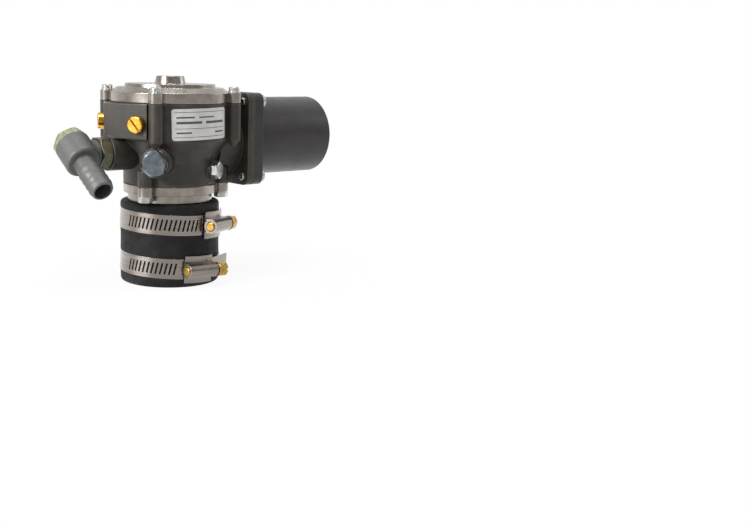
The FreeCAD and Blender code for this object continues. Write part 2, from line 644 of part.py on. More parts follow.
def outlet_flange():
    """Bare aluminium ring: spigot, collar, flange and three ears."""
    ring = turned("outlet_ring", [
        (THROAT_RADIUS, "hose_length - spigot_length"),
        (f"{SPIGOT_RADIUS} - 0.7", "hose_length - spigot_length"),
        (SPIGOT_RADIUS, "hose_length - spigot_length + 1.2"),
        (SPIGOT_RADIUS, COLLAR_BOTTOM),
        (COLLAR_RADIUS, COLLAR_BOTTOM),
        (COLLAR_RADIUS, FLANGE_BOTTOM),
        (LOWER_RADIUS, FLANGE_BOTTOM),
        (LOWER_RADIUS, FLANGE_TOP),
        (THROAT_RADIUS, FLANGE_TOP),
    ])
    soften(ring, 0.5, (LOWER_RADIUS, FLANGE_BOTTOM), (LOWER_RADIUS, FLANGE_TOP))
    ears = []
    holes = []
    for number, angle in enumerate(OUTLET_ANGLES, start=1):
        spot = (turn(Z_AXIS, angle), at(OUTLET_CIRCLE, 0, FLANGE_BOTTOM))
        ears.append(rod(f"outlet_ear_{number}", "outlet_ear_radius", "outlet_flange_thickness",
                        *spot))
        holes.append(rod(f"outlet_hole_{number}", "outlet_screw_radius + hole_fit",
                         "outlet_flange_thickness + 2", *spot, at(z=-1)))
    throat = rod("outlet_bore", THROAT_RADIUS, "hose_length + 30", at(z="hose_length - 30"))
    node("outlet_flange", cut("outlet", fuse("outlet_solid", ring, *ears), throat, *holes))


def outlet_gasket():
    """Paper gasket of the flange's own outline."""
    discs = [rod("outlet_gasket_disc", LOWER_RADIUS, "outlet_gasket_thickness",
                 at(z=FLANGE_TOP))]
    holes = [rod("outlet_gasket_bore", THROAT_RADIUS, "outlet_gasket_thickness + 2",
                 at(z=f"{FLANGE_TOP} - 1"))]
    for number, angle in enumerate(OUTLET_ANGLES, start=1):
        spot = (turn(Z_AXIS, angle), at(OUTLET_CIRCLE, 0, FLANGE_TOP))
        discs.append(rod(f"outlet_gasket_ear_{number}", "outlet_ear_radius",
                         "outlet_gasket_thickness", *spot))
        holes.append(rod(f"outlet_gasket_hole_{number}", "outlet_screw_radius + hole_fit",
                         "outlet_gasket_thickness + 2", *spot, at(z=-1)))
    node("outlet_gasket", cut("outlet_paper", fuse("outlet_paper_solid", *discs), *holes))


def outlet_fasteners():
    """Three hex screws from below, each with its washer."""
    grip = ("(outlet_washer_thickness + outlet_flange_thickness + outlet_gasket_thickness"
            " + outlet_thread_depth - 1)")
    head = hex_head("outlet_head", "outlet_hex_flats", "outlet_hex_height", 0.8)
    place(head, turn(X_AXIS, 180))
    shank = turned("outlet_shank", [
        (0, -1),
        ("outlet_screw_radius", -1),
        ("outlet_screw_radius", f"{grip} - 0.6"),
        ("outlet_screw_radius - 0.6", grip),
        (0, grip),
    ])
    screw = fuse("outlet_screw_model", head, shank)
    under = f"({FLANGE_BOTTOM} - outlet_washer_thickness)"
    places = ring_of(OUTLET_ANGLES, at(OUTLET_CIRCLE, 0, under))
    node("outlet_screws", copies("outlet_screw_set", screw, *places))
    washer = cut(
        "outlet_washer_model",
        rod("outlet_washer_disc", "outlet_hex_flats / 2 + 0.4", "outlet_washer_thickness"),
        rod("outlet_washer_eye", "outlet_screw_radius + 0.1", "outlet_washer_thickness + 2",
            at(z=-1)))
    node("outlet_washers", copies("outlet_washer_set", washer, *places))


def square_plate(name, thickness):
    """Square flange with round corners, its thickness along +X from its own origin."""
    across = block(f"{name}_across", thickness, FLANGE_SIDE, f"2 * {AIR_OFFSET}",
                   at(f"({thickness}) / 2", 0, f"-{AIR_OFFSET}"))
    upright = block(f"{name}_upright", thickness, f"2 * {AIR_OFFSET}", FLANGE_SIDE,
                    at(f"({thickness}) / 2", 0, f"-{FLANGE_SIDE} / 2"))
    corners = []
    for number, (y, z) in enumerate(corner_places(), start=1):
        corners.append(rod(f"{name}_corner_{number}", "air_flange_corner", thickness,
                           at(0, y, z), LYING_X))
    return fuse(f"{name}_plate", across, upright, *corners)


def corner_places():
    """The four air screws, as offsets along Y and Z from the tube's axis."""
    return [(f"{y} * {AIR_OFFSET}", f"{z} * {AIR_OFFSET}") for y in (-1, 1) for z in (-1, 1)]


def corner_holes(name, radius, length, start):
    """Four holes along X through the square flanges."""
    holes = []
    for number, (y, z) in enumerate(corner_places(), start=1):
        holes.append(rod(f"{name}_hole_{number}", radius, length, at(start, y, f"{AIR_Z} + {z}"),
                         LYING_X))
    return holes


def boss(name, radius, length, size, *moves):
    """A cylinder that stands on its own origin, with its far edge rounded."""
    solid = turned(name, [(0, 0), (radius, 0), (radius, length), (0, length)], *moves)
    return soften(solid, size, (radius, length))


def radial(angle, height):
    """Frame at a height on the upright axis whose own Z points out at an angle."""
    return (at(z=height), turn(Z_AXIS, angle), LYING_X)


def body_outside():
    """Everything on the outside of the casting, joined."""
    shell = turned("shell", [
        (0, 0),
        (LOWER_RADIUS, 0),
        (LOWER_RADIUS, "skirt_height"),
        (WAIST_RADIUS, f"{BODY_HEIGHT} - waist_drop"),
        (SHELL_RADIUS, f"{BODY_HEIGHT} - shell_height"),
        (SHELL_RADIUS, BODY_HEIGHT),
        (0, BODY_HEIGHT),
    ], at(z=BODY_BOTTOM))
    soften(shell, 1.5, (SHELL_RADIUS, f"{BODY_HEIGHT} - shell_height"))
    pieces = [shell]
    for number, angle in enumerate(COVER_ANGLES, start=1):
        spot = (turn(Z_AXIS, angle), at(COVER_CIRCLE, 0, f"{BODY_TOP} - {COLUMN_HEIGHT}"))
        pieces.append(rod(f"column_{number}", "column_radius", COLUMN_HEIGHT, *spot))
        pieces.append(cone(f"column_foot_{number}", "column_radius - 3", "column_radius",
                           "column_foot_height", *spot, at(z="-column_foot_height")))
    for number, angle in enumerate(OUTLET_ANGLES, start=1):
        spot = (turn(Z_AXIS, angle), at(OUTLET_CIRCLE, 0, BODY_BOTTOM))
        pieces.append(rod(f"body_ear_{number}", "outlet_ear_radius",
                          "outlet_thread_depth + 2", *spot))
        pieces.append(cone(f"body_ear_top_{number}", "outlet_ear_radius",
                           "outlet_ear_radius - 3.5", 5, *spot,
                           at(z="outlet_thread_depth + 2")))
    pieces.append(boss("gas_boss", "gas_boss_radius", f"{BOSS_REACH} - {THROAT_RADIUS} - 2",
                       0.5, at(z=GAS_Z), LYING_BACK_X, at(z=f"{THROAT_RADIUS} + 2")))
    pieces.append(boss("hex_boss", "hex_plug_boss_radius",
                       "waist_step + shell_step + hex_plug_boss_offset + 4", 1,
                       *radial("hex_plug_angle", f"{BODY_BOTTOM} + hex_plug_height"),
                       at(z=f"{LOWER_RADIUS} - 4")))
    pieces.append(boss("port_boss", "port_plug_boss_radius", "port_plug_boss_offset + 5", 0.5,
                       *radial("port_plug_angle", f"{BODY_BOTTOM} + port_plug_height"),
                       at(z=f"{LOWER_RADIUS} - 5")))
    pieces.append(rod("neck", NECK_RADIUS, f"{BODY_FLANGE_X} - {THROAT_RADIUS} + 2",
                      at(THROAT_RADIUS, 0, PORT_Z), LYING_X))
    pieces.append(place(square_plate("body_flange", "body_flange_thickness"),
                        at(BODY_FLANGE_X, 0, AIR_Z)))
    pieces.append(screw_pads())
    return fuse("body_outside", *pieces)


def screw_pads():
    """Block with two flat faces, square to the two mixture screws, meeting at an edge."""
    inset = "8"
    near_x = f"(0 - {PAD_REACH} * cos(180 - mixture_angle) + pad_margin * sin(180 - mixture_angle))"
    near_y = f"({PAD_REACH} * sin(180 - mixture_angle) + pad_margin * cos(180 - mixture_angle))"
    deep_x = f"({near_x} + {inset} * cos(180 - mixture_angle))"
    deep_y = f"({near_y} - {inset} * sin(180 - mixture_angle))"
    return extruded("screw_pads", [
        (f"0 - {PAD_REACH} / cos(180 - mixture_angle)", 0),
        (near_x, f"0 - {near_y}"),
        (deep_x, f"0 - {deep_y}"),
        (deep_x, deep_y),
        (near_x, near_y),
    ], "mixture_drop + pad_depth", at(z=f"{MIXTURE_Z} - pad_depth"))


def body_hollows():
    """Air chamber, throat and air port, as one tool that leaves the throat's wall standing."""
    floor = "(waist_drop - 1.5)"
    chamber = turned("chamber", [
        (0, f"0 - {floor}"),
        (f"{WAIST_RADIUS} - shell_wall", f"0 - {floor}"),
        (CHAMBER_RADIUS, "1 - shell_height"),
        (CHAMBER_RADIUS, 5),
        (0, 5),
    ], at(z=BODY_TOP))
    port = rod("air_port", PORT_RADIUS, f"{AIR_GASKET_X} - {THROAT_RADIUS} + 10",
               at(f"{THROAT_RADIUS} - 5", 0, PORT_Z), LYING_X)
    throat_height = f"({SEAT_Z} - {BODY_BOTTOM})"
    wall = rod("throat_outside", f"{THROAT_RADIUS} + throat_wall", throat_height,
               at(z=BODY_BOTTOM))
    posts = []
    for side, angle in MIXTURE_ANGLES.items():
        posts.append(rod(f"{side}_post", "mixture_post_radius", "mixture_post_length + 2",
                         *radial(angle, MIXTURE_Z),
                         at(z=f"{CHAMBER_RADIUS} - mixture_post_length")))
    return cut("chamber_and_port", fuse("hollow_space", chamber, port), wall, *posts)


def mixer_body():
    """The black casting."""
    carved = cut("body_carved", body_outside(), body_hollows(),
                 rod("throat_bore", THROAT_RADIUS, f"{BODY_HEIGHT} + 2",
                     at(z=f"{BODY_BOTTOM} - 1")))
    tools = [
        rod("gas_passage", "gas_passage_radius", BOSS_REACH, at(z=GAS_Z), LYING_BACK_X),
        rod("spoke_bore", "gas_spoke_radius + thread_fit", "gas_spoke_reach", at(z=GAS_Z),
            LYING_BACK_X),
        rod("gas_thread", "gas_thread_radius", "gas_thread_depth + 1",
            at(f"-{BOSS_REACH} - 1", 0, GAS_Z), LYING_X),
        rod("hex_plug_hole", "hex_plug_thread_radius + thread_fit",
            "hex_plug_thread_length + 6",
            *radial("hex_plug_angle", f"{BODY_BOTTOM} + hex_plug_height"),
            at(z=f"{SHELL_RADIUS} + hex_plug_boss_offset - hex_plug_thread_length - 0.5")),
        rod("port_plug_hole", "port_plug_thread_radius + thread_fit",
            "port_plug_thread_length + 6",
            *radial("port_plug_angle", f"{BODY_BOTTOM} + port_plug_height"),
            at(z=f"{LOWER_RADIUS} + port_plug_boss_offset - port_plug_thread_length - 0.5")),
        rod("port_drilling", "port_drill_radius", f"{LOWER_RADIUS} - 2",
            *radial("port_plug_angle", f"{BODY_BOTTOM} + port_plug_height"), at(z=2)),
    ]
    for side, angle in MIXTURE_ANGLES.items():
        tools.append(rod(f"{side}_wide_bore", "mixture_radius + mixture_fit",
                         "mixture_bore_depth + 8", *radial(angle, MIXTURE_Z),
                         at(z=f"{PAD_REACH} - mixture_bore_depth")))
        tools.append(rod(f"{side}_thread_bore", "mixture_thread_radius + mixture_fit",
                         20, *radial(angle, MIXTURE_Z), at(z=f"{PAD_REACH} - 20")))
    for number, angle in enumerate(COVER_ANGLES, start=1):
        tools.append(rod(f"column_hole_{number}", "cover_screw_radius + thread_fit",
                         "cover_thread_depth + 1", turn(Z_AXIS, angle),
                         at(COVER_CIRCLE, 0, f"{BODY_TOP} - cover_thread_depth")))
    for number, angle in enumerate(OUTLET_ANGLES, start=1):
        tools.append(rod(f"body_ear_hole_{number}", "outlet_screw_radius + thread_fit",
                         "outlet_thread_depth + 1", turn(Z_AXIS, angle),
                         at(OUTLET_CIRCLE, 0, f"{BODY_BOTTOM} - 1")))
    tools += corner_holes("body_flange", "air_screw_radius + thread_fit",
                          "body_flange_thickness + 2", f"{BODY_FLANGE_X} - 1")
    node("mixer_body", cut("body", carved, *tools))


def gas_hub():
    """Hub in the throat with its hollow spoke, pressed into the casting from inside."""
    foot = f"({GAS_Z} - gas_spoke_radius - 1)"
    hub = turned("hub_blank", [
        (0, 0),
        ("gas_hub_radius - 4", 0),
        ("gas_hub_radius", 5),
        ("gas_hub_radius", f"{SEAT_Z} - jet_flange - {foot}"),
        (0, f"{SEAT_Z} - jet_flange - {foot}"),
    ], at(z=foot))
    spoke = rod("hub_spoke", "gas_spoke_radius", "gas_spoke_reach", at(z=GAS_Z), LYING_BACK_X)
    passage = rod("hub_passage", "gas_passage_radius", "gas_spoke_reach + 1", at(z=GAS_Z),
                  LYING_BACK_X)
    well = rod("hub_well", "cone_radius + jet_fit + jet_wall + thread_fit", "gas_drop + 10",
               at(z=f"{GAS_Z} - gas_passage_radius + 0.5"))
    node("gas_hub", cut("hub", fuse("hub_solid", hub, spoke), passage, well))


def gas_jet():
    """Brass seat with a flange, at the top of the gas hub."""
    bore = "(cone_radius + jet_fit)"
    node("gas_jet", turned("jet", [
        (bore, "0 - jet_flange - jet_depth"),
        (f"{bore} + jet_wall", "0 - jet_flange - jet_depth"),
        (f"{bore} + jet_wall", "0 - jet_flange"),
        ("gas_hub_radius", "0 - jet_flange"),
        ("gas_hub_radius", -0.4),
        ("gas_hub_radius - 0.4", 0),
        (bore, 0),
    ]), at(z=SEAT_Z))


def drilled(name, blank, top, radius, circle, angles, through):
    """Drill a ring of holes down through a blank from a height."""
    holes = []
    for number, angle in enumerate(angles, start=1):
        holes.append(rod(f"{name}_hole_{number}", radius, through, turn(Z_AXIS, angle),
                         at(circle, 0, f"{top} - ({through})")))
    return cut(name, blank, *holes)


VENT_ANGLES = [0, 90, 180, 270]
PLATE_ANGLES = [45, 135, 225, 315]


def air_valve():
    """Cup that closes the throat and carries the metering cone."""
    rim = f"({THROAT_RADIUS} + valve_rim_step)"
    cup = f"({THROAT_RADIUS} + valve_cup_step)"
    inner = f"({cup} - valve_cup_wall)"
    blank = turned("valve_blank", [
        (inner, 0),
        (rim, 0),
        (rim, "valve_rim_height"),
        (cup, "valve_rim_height"),
        (cup, "valve_height - valve_roof"),
        (f"{THROAT_RADIUS} + valve_roof_step", "valve_height - valve_roof"),
        (f"{THROAT_RADIUS} + valve_roof_step", "valve_height"),
        ("stem_radius + stem_fit", "valve_height"),
        ("stem_radius + stem_fit", "cone_top_height + 1.1"),
        ("valve_boss_radius", "cone_top_height + 1.1"),
        ("valve_boss_radius", "valve_height - valve_roof"),
        (inner, "valve_height - valve_roof"),
    ], at(z=VALVE_BOTTOM))
    vented = drilled("valve_vented", blank, f"{VALVE_TOP} + 1", "vent_radius", "vent_circle",
                     VENT_ANGLES, "valve_roof + 2")
    node("air_valve", drilled("valve", vented, f"{VALVE_TOP} + 1",
                              "plate_screw_radius + thread_fit", "plate_screw_circle",
                              PLATE_ANGLES, "valve_roof + 2"))
    seal = cut(
        "seal", rod("seal_disc", rim, "valve_seal_thickness"),
        rod("seal_eye", f"{THROAT_RADIUS} + 0.4", "valve_seal_thickness + 2", at(z=-1)))
    node("air_valve_seal", seal, at(z=f"{VALVE_BOTTOM} - valve_seal_thickness"))


def gas_metering_valve():
    """Cone that hangs in the gas jet, with a stem through the valve and its nut on top."""
    foot = "(cone_top_height + valve_seal_thickness + seat_gap + 1)"
    stem_top = f"({PLATE_TOP} + nut_height + 0.6 - {SEAT_Z})"
    node("gas_metering_valve", turned("cone", [
        (0, "0 - cone_length"),
        ("cone_tip_radius - 0.6", "0 - cone_length"),
        ("cone_tip_radius", "0.6 - cone_length"),
        ("cone_radius", -2),
        ("cone_radius", "cone_top_height"),
        ("valve_boss_radius", foot),
        ("stem_radius", foot),
        ("stem_radius", stem_top),
        (0, stem_top),
    ]), at(z=SEAT_Z))
    nut = cut("nut", hex_head("nut_blank", "nut_flats", "nut_height", 0.8),
              rod("nut_eye", "stem_radius + thread_fit", "nut_height + 2", at(z=-1)))
    node("gas_valve_nut", nut, at(z=PLATE_TOP))


DIAPHRAGM_FLAT = f"({THROAT_RADIUS} + valve_roof_step + 0.8)"


def diaphragm():
    """Rubber sheet: flat middle on the valve, sloped fold, rim and four ears."""
    rim_in = f"({SHELL_RADIUS} - cover_rim)"
    drop = "(0 - diaphragm_drop)"
    sheet_blank = turned("rubber_blank", [
        ("stem_radius + stem_fit", drop),
        (f"{DIAPHRAGM_FLAT} + 0.6", drop),
        (rim_in, 0),
        (SHELL_RADIUS, 0),
        (SHELL_RADIUS, "diaphragm_thickness"),
        (f"{rim_in} - 0.6", "diaphragm_thickness"),
        (DIAPHRAGM_FLAT, f"{drop} + diaphragm_thickness"),
        ("stem_radius + stem_fit", f"{drop} + diaphragm_thickness"),
    ], at(z=BODY_TOP))
    ears = []
    for number, angle in enumerate(COVER_ANGLES, start=1):
        spot = (turn(Z_AXIS, angle), at(COVER_CIRCLE, 0, BODY_TOP))
        ears.append(rod(f"rubber_ear_{number}", "column_radius", "diaphragm_thickness", *spot))
    inner = rod("rubber_inner", f"{SHELL_RADIUS} - 1", "diaphragm_thickness + 2",
                at(z=f"{BODY_TOP} - 1"))
    flaps = cut("rubber_flaps", fuse("rubber_ears", *ears), inner)
    whole = drilled("rubber_drilled", fuse("rubber_whole", sheet_blank, flaps),
                    f"{BODY_TOP} + 3", "cover_screw_radius + hole_fit", COVER_CIRCLE,
                    COVER_ANGLES, 6)
    vented = drilled("rubber_vented", whole, f"{VALVE_TOP} + 3", "vent_radius", "vent_circle",
                     VENT_ANGLES, 6)
    node("diaphragm", drilled("rubber", vented, f"{VALVE_TOP} + 3",
                              "plate_screw_radius + hole_fit", "plate_screw_circle",
                              PLATE_ANGLES, 6))


def diaphragm_plate():
    """Thin plate that clamps the diaphragm to the valve, and its screws."""
    blank = turned("plate_blank", [
        ("stem_radius + stem_fit", 0),
        (f"{THROAT_RADIUS} + valve_roof_step - 0.5", 0),
        (f"{THROAT_RADIUS} + valve_roof_step - 0.5", "diaphragm_plate_thickness"),
        ("stem_radius + stem_fit", "diaphragm_plate_thickness"),
    ], at(z=PLATE_BOTTOM))
    vented = drilled("plate_vented", blank, f"{PLATE_TOP} + 1", "vent_radius", "vent_circle",
                     VENT_ANGLES, 4)
    node("diaphragm_plate", drilled("plate", vented, f"{PLATE_TOP} + 1",
                                    "plate_screw_radius + hole_fit", "plate_screw_circle",
                                    PLATE_ANGLES, 4))
    grip = "(0 - diaphragm_plate_thickness - diaphragm_thickness - valve_roof)"
    screw = cut(
        "plate_screw_model",
        turned("plate_screw_solid", [
            (0, grip),
            ("plate_screw_radius", grip),
            ("plate_screw_radius", 0),
            ("plate_head_radius", 0),
            ("plate_head_radius", "plate_head_height - 0.6"),
            ("plate_head_radius - 0.7", "plate_head_height"),
            (0, "plate_head_height"),
        ]),
        block("plate_screw_slot", "4 * plate_head_radius", 0.8, 3,
              at(z="plate_head_height / 2")))
    node("diaphragm_plate_screws",
         copies("plate_screw_set", screw,
                *ring_of(PLATE_ANGLES, at("plate_screw_circle", 0, PLATE_TOP))))


def top_cover():
    """Bare aluminium cover: wall, shoulder, raised face, spring boss and four ears."""
    shoulder = "(cover_wall_height + cover_slope_height)"
    face = f"({shoulder} + cover_pad_height)"
    crown = f"({face} + spring_boss_height)"
    pad = f"({SHELL_RADIUS} - cover_pad_step)"
    pocket = "(spring_radius + spring_wire / 2 + spring_pocket_fit)"
    ceiling = f"({face} - cover_shell)"
    shell = turned("cover_shell_body", [
        (f"{SHELL_RADIUS} - cover_rim", 0),
        (SHELL_RADIUS, 0),
        (SHELL_RADIUS, "cover_wall_height"),
        (f"{SHELL_RADIUS} - cover_shoulder_step", shoulder),
        (pad, shoulder),
        (f"{pad} - 0.3", face),
        ("spring_boss_radius", face),
        ("spring_boss_radius - spring_boss_taper", crown),
        (0, crown),
        (0, f"{crown} - cover_shell"),
        (pocket, f"{crown} - cover_shell"),
        (pocket, ceiling),
        (f"{pad} - 3", ceiling),
        (f"{SHELL_RADIUS} - cover_rim - 0.3", "cover_wall_height - cover_shell + 0.4"),
    ])
    soften(shell, 0.35, (SHELL_RADIUS, "cover_wall_height"), (f"{pad} - 0.3", face),
           ("spring_boss_radius - spring_boss_taper", crown))
    ears = []
    holes = []
    for number, angle in enumerate(COVER_ANGLES, start=1):
        spot = (turn(Z_AXIS, angle), at(COVER_CIRCLE, 0, 0))
        ears.append(rod(f"cover_ear_{number}", "column_radius", "cover_ear_height", *spot))
        holes.append(rod(f"cover_hole_{number}", "cover_screw_radius + hole_fit",
                         "cover_ear_height + 6", *spot, at(z=-3)))
        holes.append(rod(f"cover_washer_room_{number}", "cover_head_radius + 0.6", 6, *spot,
                         at(z="cover_ear_height")))
    inside = rod("cover_ear_room", f"{SHELL_RADIUS} - 1", "cover_wall_height")
    ring = cut("cover_ears", fuse("cover_ear_solid", *ears), inside)
    node("top_cover", cut("cover", fuse("cover_solid", shell, ring), *holes),
         at(z=COVER_BOTTOM))


def cover_fasteners():
    """Four slotted round-head screws with spring washers."""
    grip = ("(0 - cover_washer_thickness - cover_ear_height - diaphragm_thickness"
            " - cover_thread_depth + 1)")
    screw = cut(
        "cover_screw_model",
        turned("cover_screw_solid", [
            (0, grip),
            ("cover_screw_radius - 0.5", grip),
            ("cover_screw_radius", f"{grip} + 0.5"),
            ("cover_screw_radius", 0),
            ("cover_head_radius", 0),
            ("cover_head_radius", "cover_head_height - 0.7"),
            ("cover_head_radius - 0.8", "cover_head_height"),
            (0, "cover_head_height"),
        ]),
        block("cover_screw_slot", "4 * cover_head_radius", 1, 4,
              at(z="cover_head_height - 1.2")))
    top = f"({COVER_BOTTOM} + cover_ear_height + cover_washer_thickness)"
    spots = ring_of(COVER_ANGLES, at(COVER_CIRCLE, 0, top), turn(Z_AXIS, 25))
    node("cover_screws", copies("cover_screw_set", screw, *spots))
    washer = cut(
        "cover_washer_model",
        rod("cover_washer_disc", "cover_head_radius + 0.2", "cover_washer_thickness"),
        rod("cover_washer_eye", "cover_screw_radius + 0.1", "cover_washer_thickness + 2",
            at(z=-1)))
    low = f"({COVER_BOTTOM} + cover_ear_height)"
    node("cover_washers", copies("cover_washer_set", washer,
                                 *ring_of(COVER_ANGLES, at(COVER_CIRCLE, 0, low))))


def biarc(start, start_way, end, end_way):
    """Two arcs that join two points and keep the given directions at both."""
    chord = end - start
    both = start_way + end_way
    a = 2 * (1 - start_way.dot(end_way))
    b = 2 * chord.dot(both)
    c = -chord.dot(chord)
    reach = (-b + math.sqrt(b * b - 4 * a * c)) / (2 * a)
    middle = (start + start_way * reach + end - end_way * reach) * 0.5
    way = (end - end_way * reach - start - start_way * reach).normalize()
    return [arc_from(start, start_way, middle), arc_from(middle, way, end)]


def arc_from(start, way, end):
    """The arc that leaves a point in a direction and reaches another point."""
    chord = end - start
    across = chord - way * chord.dot(way)
    across.normalize()
    radius = chord.dot(chord) / (2 * chord.dot(across))
    centre = start + across * radius
    half = (start + end) * 0.5 - centre
    return Part.Arc(start, centre + half.normalize() * radius, end).toShape()


def helix_point(radius, rise, angle):
    """A point of the helix and its direction."""
    point = FreeCAD.Vector(radius * math.cos(angle), radius * math.sin(angle), rise * angle)
    way = FreeCAD.Vector(-radius * math.sin(angle), radius * math.cos(angle), rise)
    return point, way.normalize()


def air_valve_spring():
    """Round wire wound as a helix between the plate and the cover's pocket."""
    wire = value("spring_wire")
    radius = value("spring_radius")
    turns = value("spring_turns")
    pocket = f"{COVER_BOTTOM} + cover_wall_height + cover_slope_height + cover_pad_height"
    roof = value(f"{pocket} + spring_boss_height - cover_shell")
    low = value(f"{PLATE_TOP} + spring_gap + spring_wire / 2")
    high = roof - value("spring_gap + spring_wire / 2")
    rise = (high - low) / (turns * 2 * math.pi)
    steps = int(turns * 4)
    edges = []
    for step in range(steps):
        start, start_way = helix_point(radius, rise, turns * 2 * math.pi * step / steps)
        end, end_way = helix_point(radius, rise, turns * 2 * math.pi * (step + 1) / steps)
        edges += biarc(start, start_way, end, end_way)
    path = Part.Wire(edges)
    first, first_way = helix_point(radius, rise, 0)
    section = Part.Wire(Part.Circle(first, first_way, wire / 2).toShape())
    coil = doc.addObject("Part::Feature", "spring_coil")
    coil.Shape = path.makePipeShell([section], True, False)
    gap = (high - low) / turns * math.cos(math.atan(rise / radius)) - wire
    print("spring: turns", turns, "least gap between turns", round(gap, 2), "mm")
    node("air_valve_spring", coil)
    coil.Placement = FreeCAD.Placement(FreeCAD.Vector(0, 0, low), FreeCAD.Rotation())


def mixture_screw(side):
    """Slotted brass screw with an O-ring groove, a thread and a needle, and its O-ring."""
    angle = MIXTURE_ANGLES[side]
    shoulder = f"({PAD_REACH} - mixture_bore_depth + mixture_bore_room)"
    thread_end = f"({shoulder} - mixture_thread_length)"
    face = f"({PAD_REACH} + mixture_stand)"
    groove = f"({PAD_REACH} - oring_depth)"
    half = "(oring_wire / 2 + oring_side_room)"
    bottom = "(mixture_radius - oring_wire + 0.1)"
    solid = turned(f"{side}_screw_solid", [
        (0, f"{thread_end} - mixture_needle_length"),
        ("mixture_needle_radius", f"{thread_end} - mixture_needle_length"),
        ("mixture_thread_radius - 0.8", thread_end),
        ("mixture_thread_radius", f"{thread_end} + 0.6"),
        ("mixture_thread_radius", shoulder),
        ("mixture_radius", shoulder),
        ("mixture_radius", f"{groove} - {half}"),
        (bottom, f"{groove} - {half}"),
        (bottom, f"{groove} + {half}"),
        ("mixture_radius", f"{groove} + {half}"),
        ("mixture_radius", f"{face} - 0.6"),
        ("mixture_radius - 0.6", face),
        (0, face),
    ])
    slot = block(f"{side}_slot", "4 * mixture_radius", "driver_slot_width", 4,
                 at(z=f"{face} - driver_slot_depth"), turn(Z_AXIS, "mixture_slot_angle"))
    node(f"{side}_screw", cut(f"{side}_mixture", solid, slot), *radial(angle, MIXTURE_Z))
    ring = turned(f"{side}_ring_solid", [
        (f"{bottom} + 0.05", "0 - oring_wire / 2"),
        ("mixture_radius + 0.02", "0 - oring_wire / 2"),
        ("mixture_radius + 0.02", "oring_wire / 2"),
        (f"{bottom} + 0.05", "oring_wire / 2"),
    ])
    soften(ring, 0.3, ("mixture_radius + 0.02", "0 - oring_wire / 2"),
           ("mixture_radius + 0.02", "oring_wire / 2"))
    node(f"{side}_screw_oring", ring, *radial(angle, MIXTURE_Z), at(z=groove))


def hex_plug():
    """Large zinc-plated plug and the washer under its head."""
    frame = radial("hex_plug_angle", f"{BODY_BOTTOM} + hex_plug_height")
    seat = f"({SHELL_RADIUS} + hex_plug_boss_offset)"
    eye = rod("hex_washer_eye", "hex_plug_thread_radius + 0.2", 4, at(z=-1))
    disc = rod("hex_washer_disc", "hex_washer_radius", "hex_washer_thickness")
    node("hex_plug_washer", cut("hex_washer", disc, eye), *frame, at(z=seat))
    thread = turned("hex_plug_thread", [
        (0, "0 - hex_plug_thread_length"),
        ("hex_plug_thread_radius - 0.8", "0 - hex_plug_thread_length"),
        ("hex_plug_thread_radius", "0.8 - hex_plug_thread_length"),
        ("hex_plug_thread_radius", "hex_washer_thickness + 1"),
        (0, "hex_washer_thickness + 1"),
    ])
    head = hex_head("hex_plug_head_blank", "hex_plug_flats", "hex_plug_head", 2.4)
    place(head, at(z="hex_washer_thickness"), turn(Z_AXIS, "hex_plug_turn"))
    node("hex_plug", fuse("hex_plug_solid", thread, head), *frame, at(z=seat))


def vacuum_port_plug():
    """Small plug low on the body, over a drilling from the throat."""
    frame = radial("port_plug_angle", f"{BODY_BOTTOM} + port_plug_height")
    thread = rod("port_plug_thread", "port_plug_thread_radius", "port_plug_thread_length + 1",
                 at(z="-port_plug_thread_length"))
    head = hex_head("port_plug_head_blank", "port_plug_flats", "port_plug_head", 1.4)
    node("vacuum_port_plug", fuse("port_plug_solid", thread, head), *frame,
         at(z=f"{LOWER_RADIUS} + port_plug_boss_offset"))


def air_inlet_gasket():
    """Gasket between the two square flanges."""
    bore = rod("air_gasket_bore", TUBE_BORE, "air_gasket_thickness + 2", at(z=AIR_Z),
               at(x=f"{AIR_GASKET_X} - 1"), LYING_X)
    holes = corner_holes("air_gasket", "air_screw_radius + hole_fit",
                         "air_gasket_thickness + 2", f"{AIR_GASKET_X} - 1")
    plate = place(square_plate("air_gasket", "air_gasket_thickness"), at(AIR_GASKET_X, 0, AIR_Z))
    node("air_inlet_gasket", cut("air_paper", plate, bore, *holes))


def air_flange():
    """Square flange that the air tube is welded into."""
    plate = place(square_plate("adapter", "adapter_flange_thickness"), at(ADAPTER_X, 0, AIR_Z))
    seat = rod("adapter_seat", "air_tube_radius - tube_seat_step + tube_seat_fit",
               "adapter_flange_thickness + 2", at(f"{ADAPTER_X} - 1", 0, AIR_Z), LYING_X)
    holes = corner_holes("adapter", "air_screw_radius + hole_fit",
                         "adapter_flange_thickness + 4", f"{ADAPTER_X} - 2")
    node("air_flange", cut("adapter", plate, seat, *holes))


def air_tube():
    """Tube that the air hose is clamped to, with its weld bead on the flange's face."""
    seat = "(air_tube_radius - tube_seat_step)"
    end = "(adapter_flange_thickness + air_tube_length)"
    tube = turned("tube", [
        (TUBE_BORE, 0),
        (seat, 0),
        (seat, "adapter_flange_thickness + tube_seat_fit"),
        ("air_tube_radius + 2.2", "adapter_flange_thickness + tube_seat_fit"),
        ("air_tube_radius + 2", "adapter_flange_thickness + 0.4"),
        ("air_tube_radius + 0.9", "adapter_flange_thickness + 1"),
        ("air_tube_radius", "adapter_flange_thickness + weld_length"),
        ("air_tube_radius", end),
        (TUBE_BORE, end),
    ])
    soften(tube, 0.5, ("air_tube_radius", end), (TUBE_BORE, end))
    node("air_tube", tube, at(ADAPTER_X, 0, AIR_Z), LYING_X)


